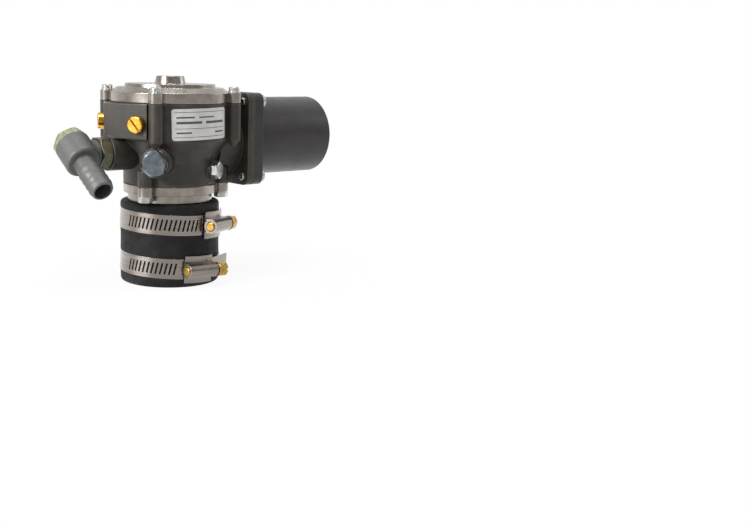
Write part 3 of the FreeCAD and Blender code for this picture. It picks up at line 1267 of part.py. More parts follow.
def air_fasteners():
    """Four round-head screws with washers through the square flanges."""
    grip = ("(0 - air_washer_thickness - adapter_flange_thickness - air_gasket_thickness"
            " - body_flange_thickness - air_screw_tail)")
    screw = cut(
        "air_screw_model",
        turned("air_screw_solid", [
            (0, grip),
            ("air_screw_radius - 0.6", grip),
            ("air_screw_radius", f"{grip} + 0.6"),
            ("air_screw_radius", 0),
            ("air_head_radius", 0),
            ("air_head_radius", "air_head_height - 0.9"),
            ("air_head_radius - 1", "air_head_height"),
            (0, "air_head_height"),
        ]),
        block("air_screw_slot", "4 * air_head_radius", "driver_slot_width", 4,
              at(z="air_head_height - 1.4")))
    washer = cut(
        "air_washer_model",
        rod("air_washer_disc", "air_head_radius + 0.6", "air_washer_thickness"),
        rod("air_washer_eye", "air_screw_radius + 0.1", "air_washer_thickness + 2", at(z=-1)))
    high = f"({TUBE_X} + air_washer_thickness)"
    heads = [(at(high, y, f"{AIR_Z} + {z}"), LYING_X, turn(Z_AXIS, 30))
             for y, z in corner_places()]
    discs = [(at(TUBE_X, y, f"{AIR_Z} + {z}"), LYING_X) for y, z in corner_places()]
    node("air_inlet_screws", copies("air_screw_set", screw, *heads))
    node("air_inlet_washers", copies("air_washer_set", washer, *discs))


NIPPLE_X = f"(0 - {BOSS_REACH} - nipple_seat)"
COLLAR_X = f"({NIPPLE_X} - nipple_hex_length - nipple_seat)"
HUB_X = f"({COLLAR_X} - elbow_collar_stand - elbow_hub_radius)"


def gas_inlet_nipple():
    """Hex nipple: one end in the gas boss, the other in the elbow."""
    far = "(0 - nipple_hex_length - nipple_seat - nipple_outer_length + 0.5)"
    tube = turned("nipple_tube", [
        ("nipple_bore_radius", far),
        ("nipple_outer_radius - 0.5", far),
        ("nipple_outer_radius", f"{far} + 0.5"),
        ("nipple_outer_radius", "-nipple_hex_length / 2"),
        ("gas_thread_radius - thread_fit", "-nipple_hex_length / 2"),
        ("gas_thread_radius - thread_fit", "gas_thread_depth - 1"),
        ("nipple_bore_radius", "gas_thread_depth - 1"),
    ])
    corner = "(nipple_flats / 2 / cos(30) + 0.01)"
    crown = turned("nipple_crown", [
        (0, "0 - nipple_hex_length"),
        ("nipple_flats / 2 - 0.2", "0 - nipple_hex_length"),
        (corner, "0.9 - nipple_hex_length"),
        (corner, -0.9),
        ("nipple_flats / 2 - 0.2", 0),
        (0, 0),
    ])
    flats = hexagon("nipple_hexagon", "nipple_flats", "nipple_hex_length",
                    at(z="-nipple_hex_length"), turn(Z_AXIS, 30))
    head = common("nipple_head", crown, flats)
    bore = rod("nipple_bore", "nipple_bore_radius", 60, at(z=-30))
    node("gas_inlet_nipple", cut("nipple", fuse("nipple_solid", head, tube), bore),
         at(NIPPLE_X, 0, GAS_Z), LYING_X)


def barb_profile():
    """Plain stem, then ridges that rise towards the barrel, from the barrel's end out."""
    start = "(elbow_hub_length / 2 - 3)"
    plain = "(elbow_hub_length / 2 + barb_plain_length)"
    points = [(0, start), ("barb_root_radius", start), ("barb_root_radius", plain)]
    count = int(value("barb_ridge_count"))
    for index in range(count):
        foot = f"({plain} + {index} * barb_ridge_pitch)"
        points.append(("barb_root_radius + barb_ridge", f"{foot} + 0.8"))
        points.append(("barb_root_radius + barb_ridge", f"{foot} + 1.6"))
        points.append(("barb_root_radius", f"{foot} + barb_ridge_pitch"))
    tip = f"({plain} + {count} * barb_ridge_pitch + 0.6)"
    points.append(("barb_root_radius - 0.5", tip))
    points.append((0, tip))
    return points


def gas_elbow():
    """Grey elbow: barrel, collar towards the nipple, hose barb, with its passages bored."""
    low = at(z="-elbow_hub_length / 2")
    barrel = turned("elbow_barrel", [
        (0, "-elbow_hub_length / 2"),
        ("elbow_hub_radius", "-elbow_hub_length / 2"),
        ("elbow_hub_radius", "elbow_hub_length / 2"),
        (0, "elbow_hub_length / 2"),
    ])
    soften(barrel, 1.6, ("elbow_hub_radius", "elbow_hub_length / 2"))
    collar = rod("elbow_collar", "elbow_collar_radius", "elbow_hub_radius + elbow_collar_stand",
                 LYING_X)
    barb = turned("elbow_barb", barb_profile())
    solid = fuse("elbow_solid", barrel, collar, barb)
    through = rod("elbow_bore", "barb_bore_radius", "elbow_hub_length + 60", low)
    plug_room = rod("elbow_plug_room", "elbow_plug_thread_radius + thread_fit",
                    "elbow_plug_thread_length + 1.5", low, at(z=-1))
    nipple_room = rod("elbow_nipple_room", "nipple_outer_radius + thread_fit", 40, LYING_X)
    node("gas_elbow", cut("elbow", solid, through, plug_room, nipple_room),
         at(HUB_X, 0, GAS_Z), turn(X_AXIS, "90 + elbow_droop"))


def gas_elbow_plug():
    """Zinc plug that closes the elbow's far end."""
    thread = rod("elbow_plug_thread", "elbow_plug_thread_radius", "elbow_plug_thread_length + 1",
                 at(z="-elbow_plug_thread_length"))
    head = hex_head("elbow_plug_blank", "elbow_plug_flats", "elbow_plug_head", 2)
    nub = cone("elbow_plug_nub", "elbow_plug_nub_radius", "elbow_plug_nub_radius - 0.6",
               "elbow_plug_nub_height", at(z="elbow_plug_head"))
    node("gas_elbow_plug", fuse("elbow_plug_solid", thread, head, nub),
         at(HUB_X, 0, GAS_Z), turn(X_AXIS, "90 + elbow_droop"),
         at(z="-elbow_hub_length / 2 - nipple_seat"), turn(X_AXIS, 180),
         turn(Z_AXIS, "elbow_plug_turn"))


def data_plate():
    """Thin curved plate that follows the upper shell, with round corners."""
    height = "plate_height"
    start = at(z=f"{BODY_TOP} - plate_drop")
    lean = turn(("cos((plate_from_angle + plate_to_angle) / 2)",
                 "sin((plate_from_angle + plate_to_angle) / 2)", 0), "plate_tilt")
    skin = cut(
        "plate_skin",
        rod("plate_skin_outer", f"{SHELL_RADIUS} + plate_thickness", f"{height} + 4",
            at(z=f"-({height} + 4) / 2")),
        rod("plate_skin_inner", f"{SHELL_RADIUS} + 0.02", f"{height} + 6",
            at(z=f"-({height} + 6) / 2")))
    place(skin, start)
    middle = "((plate_from_angle + plate_to_angle) / 2)"
    half = f"(({SHELL_RADIUS} + plate_thickness) * sin((plate_to_angle - plate_from_angle) / 2))"
    depth = f"({SHELL_RADIUS} + 6)"
    frame = (start, lean, turn(Z_AXIS, middle))
    wide = block("plate_wide", depth, f"2 * {half}", f"{height} - 2 * plate_corner", *frame,
                 at(f"{depth} / 2", 0, f"-({height} - 2 * plate_corner) / 2"))
    tall = block("plate_tall", depth, f"2 * ({half} - plate_corner)", height, *frame,
                 at(f"{depth} / 2", 0, f"-({height}) / 2"))
    corners = []
    for number, (side, end) in enumerate([(-1, -1), (-1, 1), (1, -1), (1, 1)], start=1):
        corners.append(rod(
            f"plate_corner_{number}", "plate_corner", depth, *frame,
            at(0, f"{side} * ({half} - plate_corner)",
               f"{end} * ({height} / 2 - plate_corner)"), LYING_X))
    node("data_plate", common("plate_shape", skin, fuse("plate_area", wide, tall, *corners)))


coupling_hose()
for side, (height, angle) in BANDS.items():
    clamp_band(side, height, angle)
    clamp_housing(side, height, angle)
    clamp_screw(side, height, angle)
outlet_flange()
outlet_gasket()
outlet_fasteners()
mixer_body()
hex_plug()
vacuum_port_plug()
mixture_screw("idle")
mixture_screw("power")
gas_hub()
gas_jet()
air_valve()
gas_metering_valve()
diaphragm()
diaphragm_plate()
top_cover()
cover_fasteners()
air_valve_spring()
air_inlet_gasket()
air_flange()
air_tube()
air_fasteners()
gas_inlet_nipple()
gas_elbow()
gas_elbow_plug()
data_plate()
doc.recompute()

faults = []
for thing in doc.Objects:
    if any(state in ("Invalid", "Error") for state in thing.State):
        faults.append(f"{thing.Name}: {thing.State}")
for thing in nodes:
    if thing.Shape.isNull() or not thing.Shape.isValid() or not thing.Shape.Solids:
        faults.append(f"{thing.Label}: no valid solid")
if faults:
    raise SystemExit("\n".join(faults))

os.makedirs("parts", exist_ok=True)
for thing in nodes:
    thing.Shape.exportStep(os.path.join("parts", thing.Label + ".step"))
print(len(nodes), "nodes written")
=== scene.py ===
# Looks of a gas mixer on its coupling hose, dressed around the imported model.
# Lengths are metres, +Z is up and +X is the way the air tube points.

import json
import math

import bmesh
import bpy
import numpy as np
from mathutils import Matrix, Quaternion, Vector


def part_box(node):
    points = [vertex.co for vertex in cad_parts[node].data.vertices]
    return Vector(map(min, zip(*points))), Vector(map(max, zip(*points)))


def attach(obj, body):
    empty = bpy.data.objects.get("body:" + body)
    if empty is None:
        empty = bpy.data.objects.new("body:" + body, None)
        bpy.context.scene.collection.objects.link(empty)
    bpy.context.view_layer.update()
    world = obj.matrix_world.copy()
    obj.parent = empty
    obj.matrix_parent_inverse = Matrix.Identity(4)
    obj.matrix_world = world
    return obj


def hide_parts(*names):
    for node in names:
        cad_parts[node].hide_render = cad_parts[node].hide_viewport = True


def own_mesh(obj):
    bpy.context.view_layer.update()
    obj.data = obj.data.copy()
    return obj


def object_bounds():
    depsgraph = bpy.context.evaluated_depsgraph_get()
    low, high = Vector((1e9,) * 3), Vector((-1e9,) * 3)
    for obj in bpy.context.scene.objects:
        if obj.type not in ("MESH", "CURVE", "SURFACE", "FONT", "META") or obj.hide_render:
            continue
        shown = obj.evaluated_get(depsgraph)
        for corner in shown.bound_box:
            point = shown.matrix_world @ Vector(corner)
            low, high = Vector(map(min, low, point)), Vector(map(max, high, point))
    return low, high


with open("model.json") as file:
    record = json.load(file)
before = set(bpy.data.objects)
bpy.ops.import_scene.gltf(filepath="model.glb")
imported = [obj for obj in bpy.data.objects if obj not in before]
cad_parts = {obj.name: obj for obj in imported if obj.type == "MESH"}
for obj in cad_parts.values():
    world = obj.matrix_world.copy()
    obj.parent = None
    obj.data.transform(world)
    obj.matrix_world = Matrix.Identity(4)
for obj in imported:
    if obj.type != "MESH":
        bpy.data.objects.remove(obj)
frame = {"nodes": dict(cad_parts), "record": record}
cad_low, cad_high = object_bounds()
nodes = frame["nodes"]
MM = 0.001


# Meshes

CREASE = math.radians(40)


def surface(name, points, material, closed_columns=False):
    """A mesh over a grid of points given as rows, columns and x y z.

    Each cell of the grid is one four-sided face, and rows close on themselves. Columns
    either close from the last row to the first, or the first and the last row get one
    flat face each. The faces are turned outwards by the sign of the volume they enclose.
    """
    rows, columns = points.shape[:2]
    index = np.arange(rows * columns).reshape(rows, columns)
    right = np.roll(index, -1, axis=1)
    down = np.roll(index, -1, axis=0)
    across = np.roll(right, -1, axis=0)
    last_row = rows if closed_columns else rows - 1
    quads = np.stack([index, right, across, down], axis=2)[:last_row].reshape(-1, 4)
    flat = points.reshape(-1, 3)
    corners = flat[quads] - flat.mean(axis=0)
    volume = np.einsum("ij,ij->i", corners[:, 0], np.cross(corners[:, 1], corners[:, 2])).sum()
    volume += np.einsum("ij,ij->i", corners[:, 0], np.cross(corners[:, 2], corners[:, 3])).sum()
    if volume < 0:
        quads = quads[:, ::-1]
    faces = quads.tolist()
    if not closed_columns:
        first, final = index[0].tolist(), index[-1].tolist()
        faces += [first, final[::-1]] if volume < 0 else [first[::-1], final]
    mesh = bpy.data.meshes.new(name)
    mesh.from_pydata(flat.tolist(), [], faces)
    mesh.polygons.foreach_set("use_smooth", np.ones(len(mesh.polygons), bool))
    mesh.set_sharp_from_angle(angle=CREASE)
    mesh.materials.append(material)
    piece = bpy.data.objects.new(name, mesh)
    bpy.context.scene.collection.objects.link(piece)
    return piece


# Materials

NOISE_LOW = 0.32
NOISE_HIGH = 0.68
EDGE_SAMPLES = 6


def linear(code):
    """The linear colour of an sRGB hex value."""
    channels = np.array([int(code[i:i + 2], 16) for i in (0, 2, 4)]) / 255
    low = channels / 12.92
    high = ((channels + 0.055) / 1.055) ** 2.4
    return (*np.where(channels <= 0.04045, low, high).tolist(), 1.0)


def add(tree, kind, inputs, **settings):
    """Add one node with its settings; each input is a number, a colour or another node's socket."""
    made = tree.nodes.new("ShaderNode" + kind)
    for name, setting in settings.items():
        setattr(made, name, setting)
    for socket, source in inputs.items():
        if isinstance(source, bpy.types.NodeSocket):
            tree.links.new(source, made.inputs[socket])
        else:
            made.inputs[socket].default_value = source
    return made


def finish(name, metallic, roughness, **sockets):
    """A new material: its tree, its surface shader and the object's own coordinates."""
    material = bpy.data.materials.new(name)
    material.use_nodes = True
    tree = material.node_tree
    shader = tree.nodes["Principled BSDF"]
    shader.inputs["Metallic"].default_value = metallic
    shader.inputs["Roughness"].default_value = roughness
    for socket, number in sockets.items():
        shader.inputs[socket.replace("_", " ")].default_value = number
    place = add(tree, "TexCoord", {}).outputs["Object"]
    return material, tree, shader, place


def wander(tree, place, size, low, high, detail=3):
    """A value that wanders between low and high over patches of a real size."""
    noise = add(tree, "TexNoise", {"Vector": place, "Scale": 1 / size, "Detail": detail})
    return add(tree, "MapRange", {"Value": noise.outputs["Fac"], "From Min": NOISE_LOW,
                                  "From Max": NOISE_HIGH, "To Min": low,
                                  "To Max": high}).outputs[0]


def tone(tree, share, first, second):
    """A colour between two hex values by a share from 0 to 1."""
    mix = add(tree, "Mix", {"Factor": share, 6: linear(first), 7: linear(second)},
              data_type="RGBA")
    return mix.outputs[2]


def coloured(tree, shader, share, base, edge):
    """Give the surface a base colour that goes over to a hex value by a share."""
    mix = add(tree, "Mix", {"Factor": share, 6: base, 7: linear(edge)}, data_type="RGBA")
    tree.links.new(mix.outputs[2], shader.inputs["Base Color"])


def edge_wear_and_highlight(tree, radius, reach):
    """How much a spot lies on an outer edge, from 0 to 1, and the rounded normal there.

    The rounded normal leaves the face's own normal within the radius of an edge, and the
    share grows as the two part. The colour that the materials lighten by this share is
    partly wear and partly a painted highlight along the edges.
    """
    rounded = add(tree, "Bevel", {"Radius": radius}, samples=EDGE_SAMPLES).outputs["Normal"]
    plain = add(tree, "NewGeometry", {}).outputs["Normal"]
    match = add(tree, "VectorMath", {0: rounded, 1: plain}, operation="DOT_PRODUCT")
    share = add(tree, "MapRange", {"Value": match.outputs["Value"], "From Min": 1.0,
                                   "From Max": 1.0 - reach, "To Min": 0.0, "To Max": 1.0})
    return share.outputs[0], rounded


def bump(tree, shader, height, depth, normal=None):
    """Raise the surface by a height between 0 and 1 times a real depth."""
    inputs = {"Height": height, "Distance": depth, "Strength": 1.0}
    if normal is not None:
        inputs["Normal"] = normal
    raised = add(tree, "Bump", inputs).outputs["Normal"]
    tree.links.new(raised, shader.inputs["Normal"])


def cast_black():
    """Die-cast aluminium under a thin brown-black coating.

    The coat is satin and slightly uneven, the skin of the mould shows as a fine grain,
    and the edges are lighter and browner: partly the coat worn thin there, partly a
    painted highlight along them.
    """
    material, tree, shader, place = finish("coated_cast_aluminium", 0.0, 0.4, IOR=1.5)
    edge, rounded = edge_wear_and_highlight(tree, 0.9 * MM, 0.25)
    patches = wander(tree, place, 9 * MM, 0.0, 1.0)
    coat = tone(tree, patches, "2b2722", "39332c")
    # Lighter edges broken up by noise: partly worn coat, partly a painted highlight.
    wear_and_highlight = add(tree, "Math", {0: edge, 1: wander(tree, place, 2 * MM, 0.2, 0.9)},
               operation="MULTIPLY").outputs[0]
    coloured(tree, shader, wear_and_highlight, coat, "6a5f52")
    tree.links.new(wander(tree, place, 5 * MM, 0.34, 0.5), shader.inputs["Roughness"])
    bump(tree, shader, wander(tree, place, 0.7 * MM, 0.0, 1.0, 5), 0.05 * MM, rounded)
    return material


def painted_steel():
    """Steel tube and flange under satin black paint, with the paint's slight orange peel."""
    material, tree, shader, place = finish("satin_black_paint", 0.0, 0.36, IOR=1.5)
    edge, rounded = edge_wear_and_highlight(tree, 0.7 * MM, 0.3)
    patches = wander(tree, place, 14 * MM, 0.0, 1.0)
    coat = tone(tree, patches, "282527", "322e30")
    # Lighter edges: partly worn paint, partly a painted highlight along the edges.
    coloured(tree, shader, edge, coat, "4b4647")
    tree.links.new(wander(tree, place, 6 * MM, 0.3, 0.42), shader.inputs["Roughness"])
    bump(tree, shader, wander(tree, place, 1.4 * MM, 0.0, 1.0, 2), 0.02 * MM, rounded)
    return material


def turned_rings(tree, place, pitch):
    """Tool marks of a lathe round the upright axis: rings on faces, lines round walls.

    The height is a sine of the distance from the axis plus the height, once per pitch.
    """
    flat = add(tree, "VectorMath", {0: place, 1: (1, 1, 0)}, operation="MULTIPLY")
    reach = add(tree, "VectorMath", {0: flat.outputs["Vector"]}, operation="LENGTH")
    upright = add(tree, "SeparateXYZ", {0: place}).outputs["Z"]
    along = add(tree, "Math", {0: reach.outputs["Value"], 1: upright}, operation="ADD")
    turns = add(tree, "Math", {0: along.outputs[0], 1: 2 * math.pi / pitch}, operation="MULTIPLY")
    wave = add(tree, "Math", {0: turns.outputs[0]}, operation="SINE")
    return add(tree, "MapRange", {"Value": wave.outputs[0], "From Min": -1.0, "From Max": 1.0,
                                  "To Min": 0.0, "To Max": 1.0}).outputs[0]


def turned_aluminium():
    """Bare cast aluminium with turned faces: bright, faintly warm, ringed by the tool.

    The tool's feed of 0.1 mm is drawn at 0.45 mm, because it wouldn't show otherwise.
    """
    material, tree, shader, place = finish("turned_aluminium", 1.0, 0.3)
    edge, rounded = edge_wear_and_highlight(tree, 0.35 * MM, 0.3)
    patches = wander(tree, place, 7 * MM, 0.0, 1.0)
    metal = tone(tree, patches, "8d867e", "a8a199")
    # Near-white edges: partly wear, partly a painted highlight along the edges.
    coloured(tree, shader, edge, metal, "eeeae4")
    tree.links.new(wander(tree, place, 3 * MM, 0.2, 0.3), shader.inputs["Roughness"])
    bump(tree, shader, turned_rings(tree, place, 0.45 * MM), 0.006 * MM, rounded)
    return material


def plated(name, first, second, roughness, patch, grain):
    """Zinc plate on steel: bright metal whose passivated skin shifts between two tints."""
    material, tree, shader, place = finish(name, 1.0, roughness)
    edge, rounded = edge_wear_and_highlight(tree, 0.3 * MM, 0.3)
    skin = tone(tree, wander(tree, place, patch, 0.0, 1.0), first, second)
    # Near-white edges: partly worn plate, partly a painted highlight along the edges.
    coloured(tree, shader, edge, skin, "e4e2da")
    spread = wander(tree, place, patch / 2, roughness - 0.07, roughness + 0.08)
    tree.links.new(spread, shader.inputs["Roughness"])
    bump(tree, shader, wander(tree, place, grain, 0.0, 1.0), 0.012 * MM, rounded)
    return material


STREAK_SCALE = (40, 40, 3500)


def rolled_stainless():
    """Rolled stainless strip: fine level streaks, which follow the strip but for its lean."""
    material, tree, shader, place = finish("rolled_stainless_strip", 1.0, 0.3)
    stretched = add(tree, "Mapping", {"Vector": place, "Scale": STREAK_SCALE}).outputs[0]
    streaks = add(tree, "TexNoise", {"Vector": stretched, "Scale": 1.0, "Detail": 3.0})
    level = add(tree, "MapRange", {"Value": streaks.outputs["Fac"], "From Min": 0.3,
                                   "From Max": 0.7, "To Min": 0.0, "To Max": 1.0}).outputs[0]
    edge, rounded = edge_wear_and_highlight(tree, 0.15 * MM, 0.3)
    metal = tone(tree, level, "8b837c", "aba39c")
    # Lighter edges: partly wear, partly a painted highlight along the edges.
    coloured(tree, shader, edge, metal, "c2bbb3")
    tree.links.new(wander(tree, place, 4 * MM, 0.2, 0.3), shader.inputs["Roughness"])
    bump(tree, shader, level, 0.004 * MM, rounded)
    return material


def turned_brass():
    """Turned free-cutting brass, bright yellow with faint tool marks."""
    material, tree, shader, place = finish("turned_brass", 1.0, 0.24)
    edge, rounded = edge_wear_and_highlight(tree, 0.3 * MM, 0.3)
    metal = tone(tree, wander(tree, place, 3 * MM, 0.0, 1.0), "cf9531", "e8b654")
    # Pale edges: partly wear, partly a painted highlight along the edges.
    coloured(tree, shader, edge, metal, "f7dc94")
    bump(tree, shader, wander(tree, place, 0.5 * MM, 0.0, 1.0), 0.01 * MM, rounded)
    return material


def phosphated_grey():
    """Cast elbow with a dull grey phosphate skin: fine crystals, no shine."""
    material, tree, shader, place = finish("grey_phosphated_casting", 0.55, 0.55)
    edge, rounded = edge_wear_and_highlight(tree, 0.5 * MM, 0.3)
    speckle = tone(tree, wander(tree, place, 0.5 * MM, 0.0, 1.0, 5), "5c5c5b", "737372")
    # Lighter edges: partly worn phosphate, partly a painted highlight along the edges.
    coloured(tree, shader, edge, speckle, "a5a5a2")
    tree.links.new(wander(tree, place, 3 * MM, 0.48, 0.62), shader.inputs["Roughness"])
    bump(tree, shader, wander(tree, place, 0.45 * MM, 0.0, 1.0, 5), 0.03 * MM, rounded)
    return material


def moulded_rubber():
    """Black rubber sleeve: matte, slightly chalky, with the wrap's fine unevenness."""
    material, tree, shader, place = finish("black_hose_rubber", 0.0, 0.62, Specular_IOR_Level=0.22)
    bloom = wander(tree, place, 6 * MM, 0.0, 1.0, 4)
    tree.links.new(tone(tree, bloom, "151414", "201e1e"), shader.inputs["Base Color"])
    tree.links.new(wander(tree, place, 2.5 * MM, 0.52, 0.74), shader.inputs["Roughness"])
    bump(tree, shader, wander(tree, place, 0.9 * MM, 0.0, 1.0, 5), 0.05 * MM)
    return material


def plain_sheet(name, first, second, roughness, size, depth):
    """Pressed fibre or rubber sheet: two close tones and a fine grain."""
    material, tree, shader, place = finish(name, 0.0, roughness)
    tree.links.new(tone(tree, wander(tree, place, size, 0.0, 1.0, 5), first, second),
                   shader.inputs["Base Color"])
    bump(tree, shader, wander(tree, place, size / 2, 0.0, 1.0), depth)
    return material


def label_foil():
    """Light grey aluminium foil label with a satin face, hardly rough."""
    material, tree, shader, place = finish("satin_label_foil", 0.35, 0.4)
    tree.links.new(tone(tree, wander(tree, place, 5 * MM, 0.0, 1.0), "c3c2c0", "cfcecc"),
                   shader.inputs["Base Color"])
    bump(tree, shader, wander(tree, place, 0.4 * MM, 0.0, 1.0), 0.004 * MM)
    return material


def label_ink():
    """Dark screen-printed ink, thin and slightly worn."""
    material, tree, shader, place = finish("label_ink", 0.0, 0.5)
    tree.links.new(tone(tree, wander(tree, place, 0.6 * MM, 0.0, 1.0), "3a3938", "585654"),
                   shader.inputs["Base Color"])
    return material


FINISHES = {
    "black_casting": cast_black(),
    "black_paint": painted_steel(),
    "bare_aluminium": turned_aluminium(),
    "gasket_paper": plain_sheet("pressed_gasket_fibre", "37322b", "4d463c", 0.85,
                                0.8 * MM, 0.03 * MM),
    "zinc": plated("bright_zinc_plate", "b4b6b4", "d3d4d0", 0.28, 2.5 * MM, 0.4 * MM),
    "blue_zinc": plated("blue_zinc_plate", "697379", "838d92", 0.24, 5 * MM, 1.2 * MM),
    "yellow_zinc": plated("yellow_zinc_plate", "b58a34", "d3b25c", 0.28, 2.5 * MM, 0.4 * MM),
    "olive_zinc": plated("olive_zinc_plate", "5e6152", "838570", 0.38, 3 * MM, 0.4 * MM),
    "pale_zinc": plated("pale_yellow_zinc_plate", "8f9273", "c0c2a0", 0.32, 2 * MM, 0.4 * MM),
    "stainless_strip": rolled_stainless(),
    "spring_steel": plated("drawn_spring_wire", "7f7f7d", "9a9a97", 0.3, 3 * MM, 0.3 * MM),
    "brass": turned_brass(),
    "grey_casting": phosphated_grey(),
    "black_rubber": moulded_rubber(),
    "diaphragm_rubber": plain_sheet("fabric_backed_rubber", "1f1c19", "2e2a26", 0.7,
                                    0.7 * MM, 0.03 * MM),
    "label_foil": label_foil(),
}
LABEL_INK = label_ink()

for part in frame["record"]["subparts"]:
    node = nodes[part["node"]]
    for holder in node.material_slots:
        holder.material = FINISHES[part["material_slot"]]


# Coupling hose

HOSE_BORE = 25.4 * MM
HOSE_STRETCH = 0.3 * MM
NARROW_TOP = 28.6 * MM
WIDE_FOOT = 29.6 * MM
BAND_HEIGHTS = {"lower": 12.3 * MM, "upper": 40.0 * MM}
BAND_LEAN = math.radians(2.8)
BAND_LEAN_AXIS = math.radians(57)
BAND_HALF = 6.35 * MM
PINCH = 0.36 * MM
SWELL = 0.32 * MM
SWELL_REACH = 3.2 * MM
HOSE_ROUND = 2.0 * MM
BORE_ROUND = 0.6 * MM
SKIN_DEPTH = 1.2 * MM
STEP_SOFTNESS = 0.12 * MM
SWELL_START = 0.5 * MM
ROUND_STEPS = 7
WALL_STEPS = 150
TURN_STEPS = 240


def band_normal():
    """The clamps' common axis: upright, leaned about a level direction."""
    lean = Matrix.Rotation(BAND_LEAN, 3, Vector((math.cos(BAND_LEAN_AXIS),
                                                 math.sin(BAND_LEAN_AXIS), 0)))
    return np.array(lean @ Vector((0, 0, 1)))


def coupling_hose():
    """Rubber sleeve, squeezed under the bands and swollen beside them.

    The profile is a closed ring of bore, end face and outer wall with quarter-round edges,
    turned about Z. On the outer wall the radius loses the pinch where the distance from a
    band's middle plane is under half its width, and gains a swell that dies away beyond it.
    The step between the two is soft, so rubber and band cross along the band's edges.
    """
    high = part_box("coupling_hose")[1]
    outer, length = high.x, high.z
    quarter = np.linspace(0, math.pi / 2, ROUND_STEPS)
    wall = np.linspace(HOSE_ROUND, length - HOSE_ROUND, WALL_STEPS)[1:-1]
    wide = HOSE_BORE + HOSE_STRETCH
    radii = np.concatenate([
        HOSE_BORE + BORE_ROUND * (1 - np.sin(quarter)),
        outer - HOSE_ROUND * (1 - np.sin(quarter)),
        np.full(len(wall), outer),
        outer - HOSE_ROUND * (1 - np.cos(quarter)),
        wide + BORE_ROUND * (1 - np.cos(quarter)),
        [wide, HOSE_BORE],
    ])
    heights = np.concatenate([
        BORE_ROUND * (1 - np.cos(quarter)),
        HOSE_ROUND * (1 - np.cos(quarter)),
        wall,
        length - HOSE_ROUND * (1 - np.sin(quarter)),
        length - BORE_ROUND * (1 - np.sin(quarter)),
        [WIDE_FOOT, NARROW_TOP],
    ])
    angles = np.linspace(0, 2 * math.pi, TURN_STEPS, endpoint=False)
    radius = np.repeat(radii[:, None], len(angles), axis=1)
    height = np.repeat(heights[:, None], len(angles), axis=1)
    skin = (radii > outer - SKIN_DEPTH).astype(float)[:, None]
    normal = band_normal()
    ray = np.stack([np.cos(angles), np.sin(angles)])
    lean = outer * (normal[0] * ray[0] + normal[1] * ray[1])
    for middle in BAND_HEIGHTS.values():
        beside = np.abs((height - middle) * normal[2] + lean) - BAND_HALF
        under = 1 / (1 + np.exp(beside / STEP_SOFTNESS))
        swell = np.exp(-np.maximum(beside, 0) / SWELL_REACH) * (1 - under)
        ramp = 1 - np.exp(-np.maximum(beside, 0) / SWELL_START)
        radius = radius + skin * (swell * ramp * SWELL - under * PINCH)
    points = np.stack([radius * ray[0], radius * ray[1], height], axis=2)
    piece = surface("rubber_sleeve", points, FINISHES["black_rubber"], closed_columns=True)
    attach(piece, "mixer")
    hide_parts("coupling_hose")


# Label

PLATE_MIDDLE = math.radians(-91)
PLATE_TILT = math.radians(1.5)
INK_THICKNESS = 0.03 * MM
BAR_STEPS = 24
RULE_HALF_LENGTH = 18.6 * MM
RULE_WIDTH = 0.32 * MM
RULE_HEIGHTS = {"top": 7.6 * MM, "middle": -2.4 * MM, "bottom": -7.6 * MM}
UPPER_LINE = 4.4
MIDDLE_LINE = 1.2
LOWER_LINE = -5.0


def printed_bar(name, left, right, low, high):
    """A flat printed bar that follows the label.

    Along and up are turned by the plate's tilt, and along becomes an angle round Z by
    dividing by the plate's radius. The section is a thin rectangle, half sunk in the plate.
    """
    box_low, box_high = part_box("data_plate")
    radius = -box_low.y
    centre = (box_low.z + box_high.z) / 2
    along = np.linspace(left, right, BAR_STEPS)[:, None]
    up = np.array([low, high, high, low])[None, :]
    out = radius + np.array([-1, -1, 1, 1])[None, :] * INK_THICKNESS
    turned_along = along * math.cos(PLATE_TILT) - up * math.sin(PLATE_TILT)
    turned_up = along * math.sin(PLATE_TILT) + up * math.cos(PLATE_TILT)
    angle = PLATE_MIDDLE + turned_along / radius
    points = np.stack([out * np.cos(angle), out * np.sin(angle), centre + turned_up], axis=2)
    piece = surface(name, points, LABEL_INK)
    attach(piece, "mixer")


def label_print():
    """Plain rules and short bars, like a form that nobody has filled in.

    Each bar has its two ends, the line it is centred on and its width, in millimetres.
    """
    for place, height in RULE_HEIGHTS.items():
        printed_bar(f"label_rule_{place}", -RULE_HALF_LENGTH, RULE_HALF_LENGTH,
                    height - RULE_WIDTH / 2, height + RULE_WIDTH / 2)
    bars = [(-17.6, -6.0, UPPER_LINE, 1.0), (-3.0, 8.5, UPPER_LINE, 0.8),
            (-17.6, -1.0, MIDDLE_LINE, 1.5), (2.0, 17.6, MIDDLE_LINE, 1.5),
            (-17.6, -8.0, LOWER_LINE, 1.0), (9.5, 17.6, LOWER_LINE, 1.0)]
    for number, (left, right, height, width) in enumerate(bars, start=1):
        printed_bar(f"label_bar_{number}", left * MM, right * MM, (height - width / 2) * MM,
                    (height + width / 2) * MM)


# Spring and diaphragm

RIM_UNDERSIDE = 0.115
SAME_CORNER = 0.0005 * MM
SAME_HEIGHT = 0.001 * MM


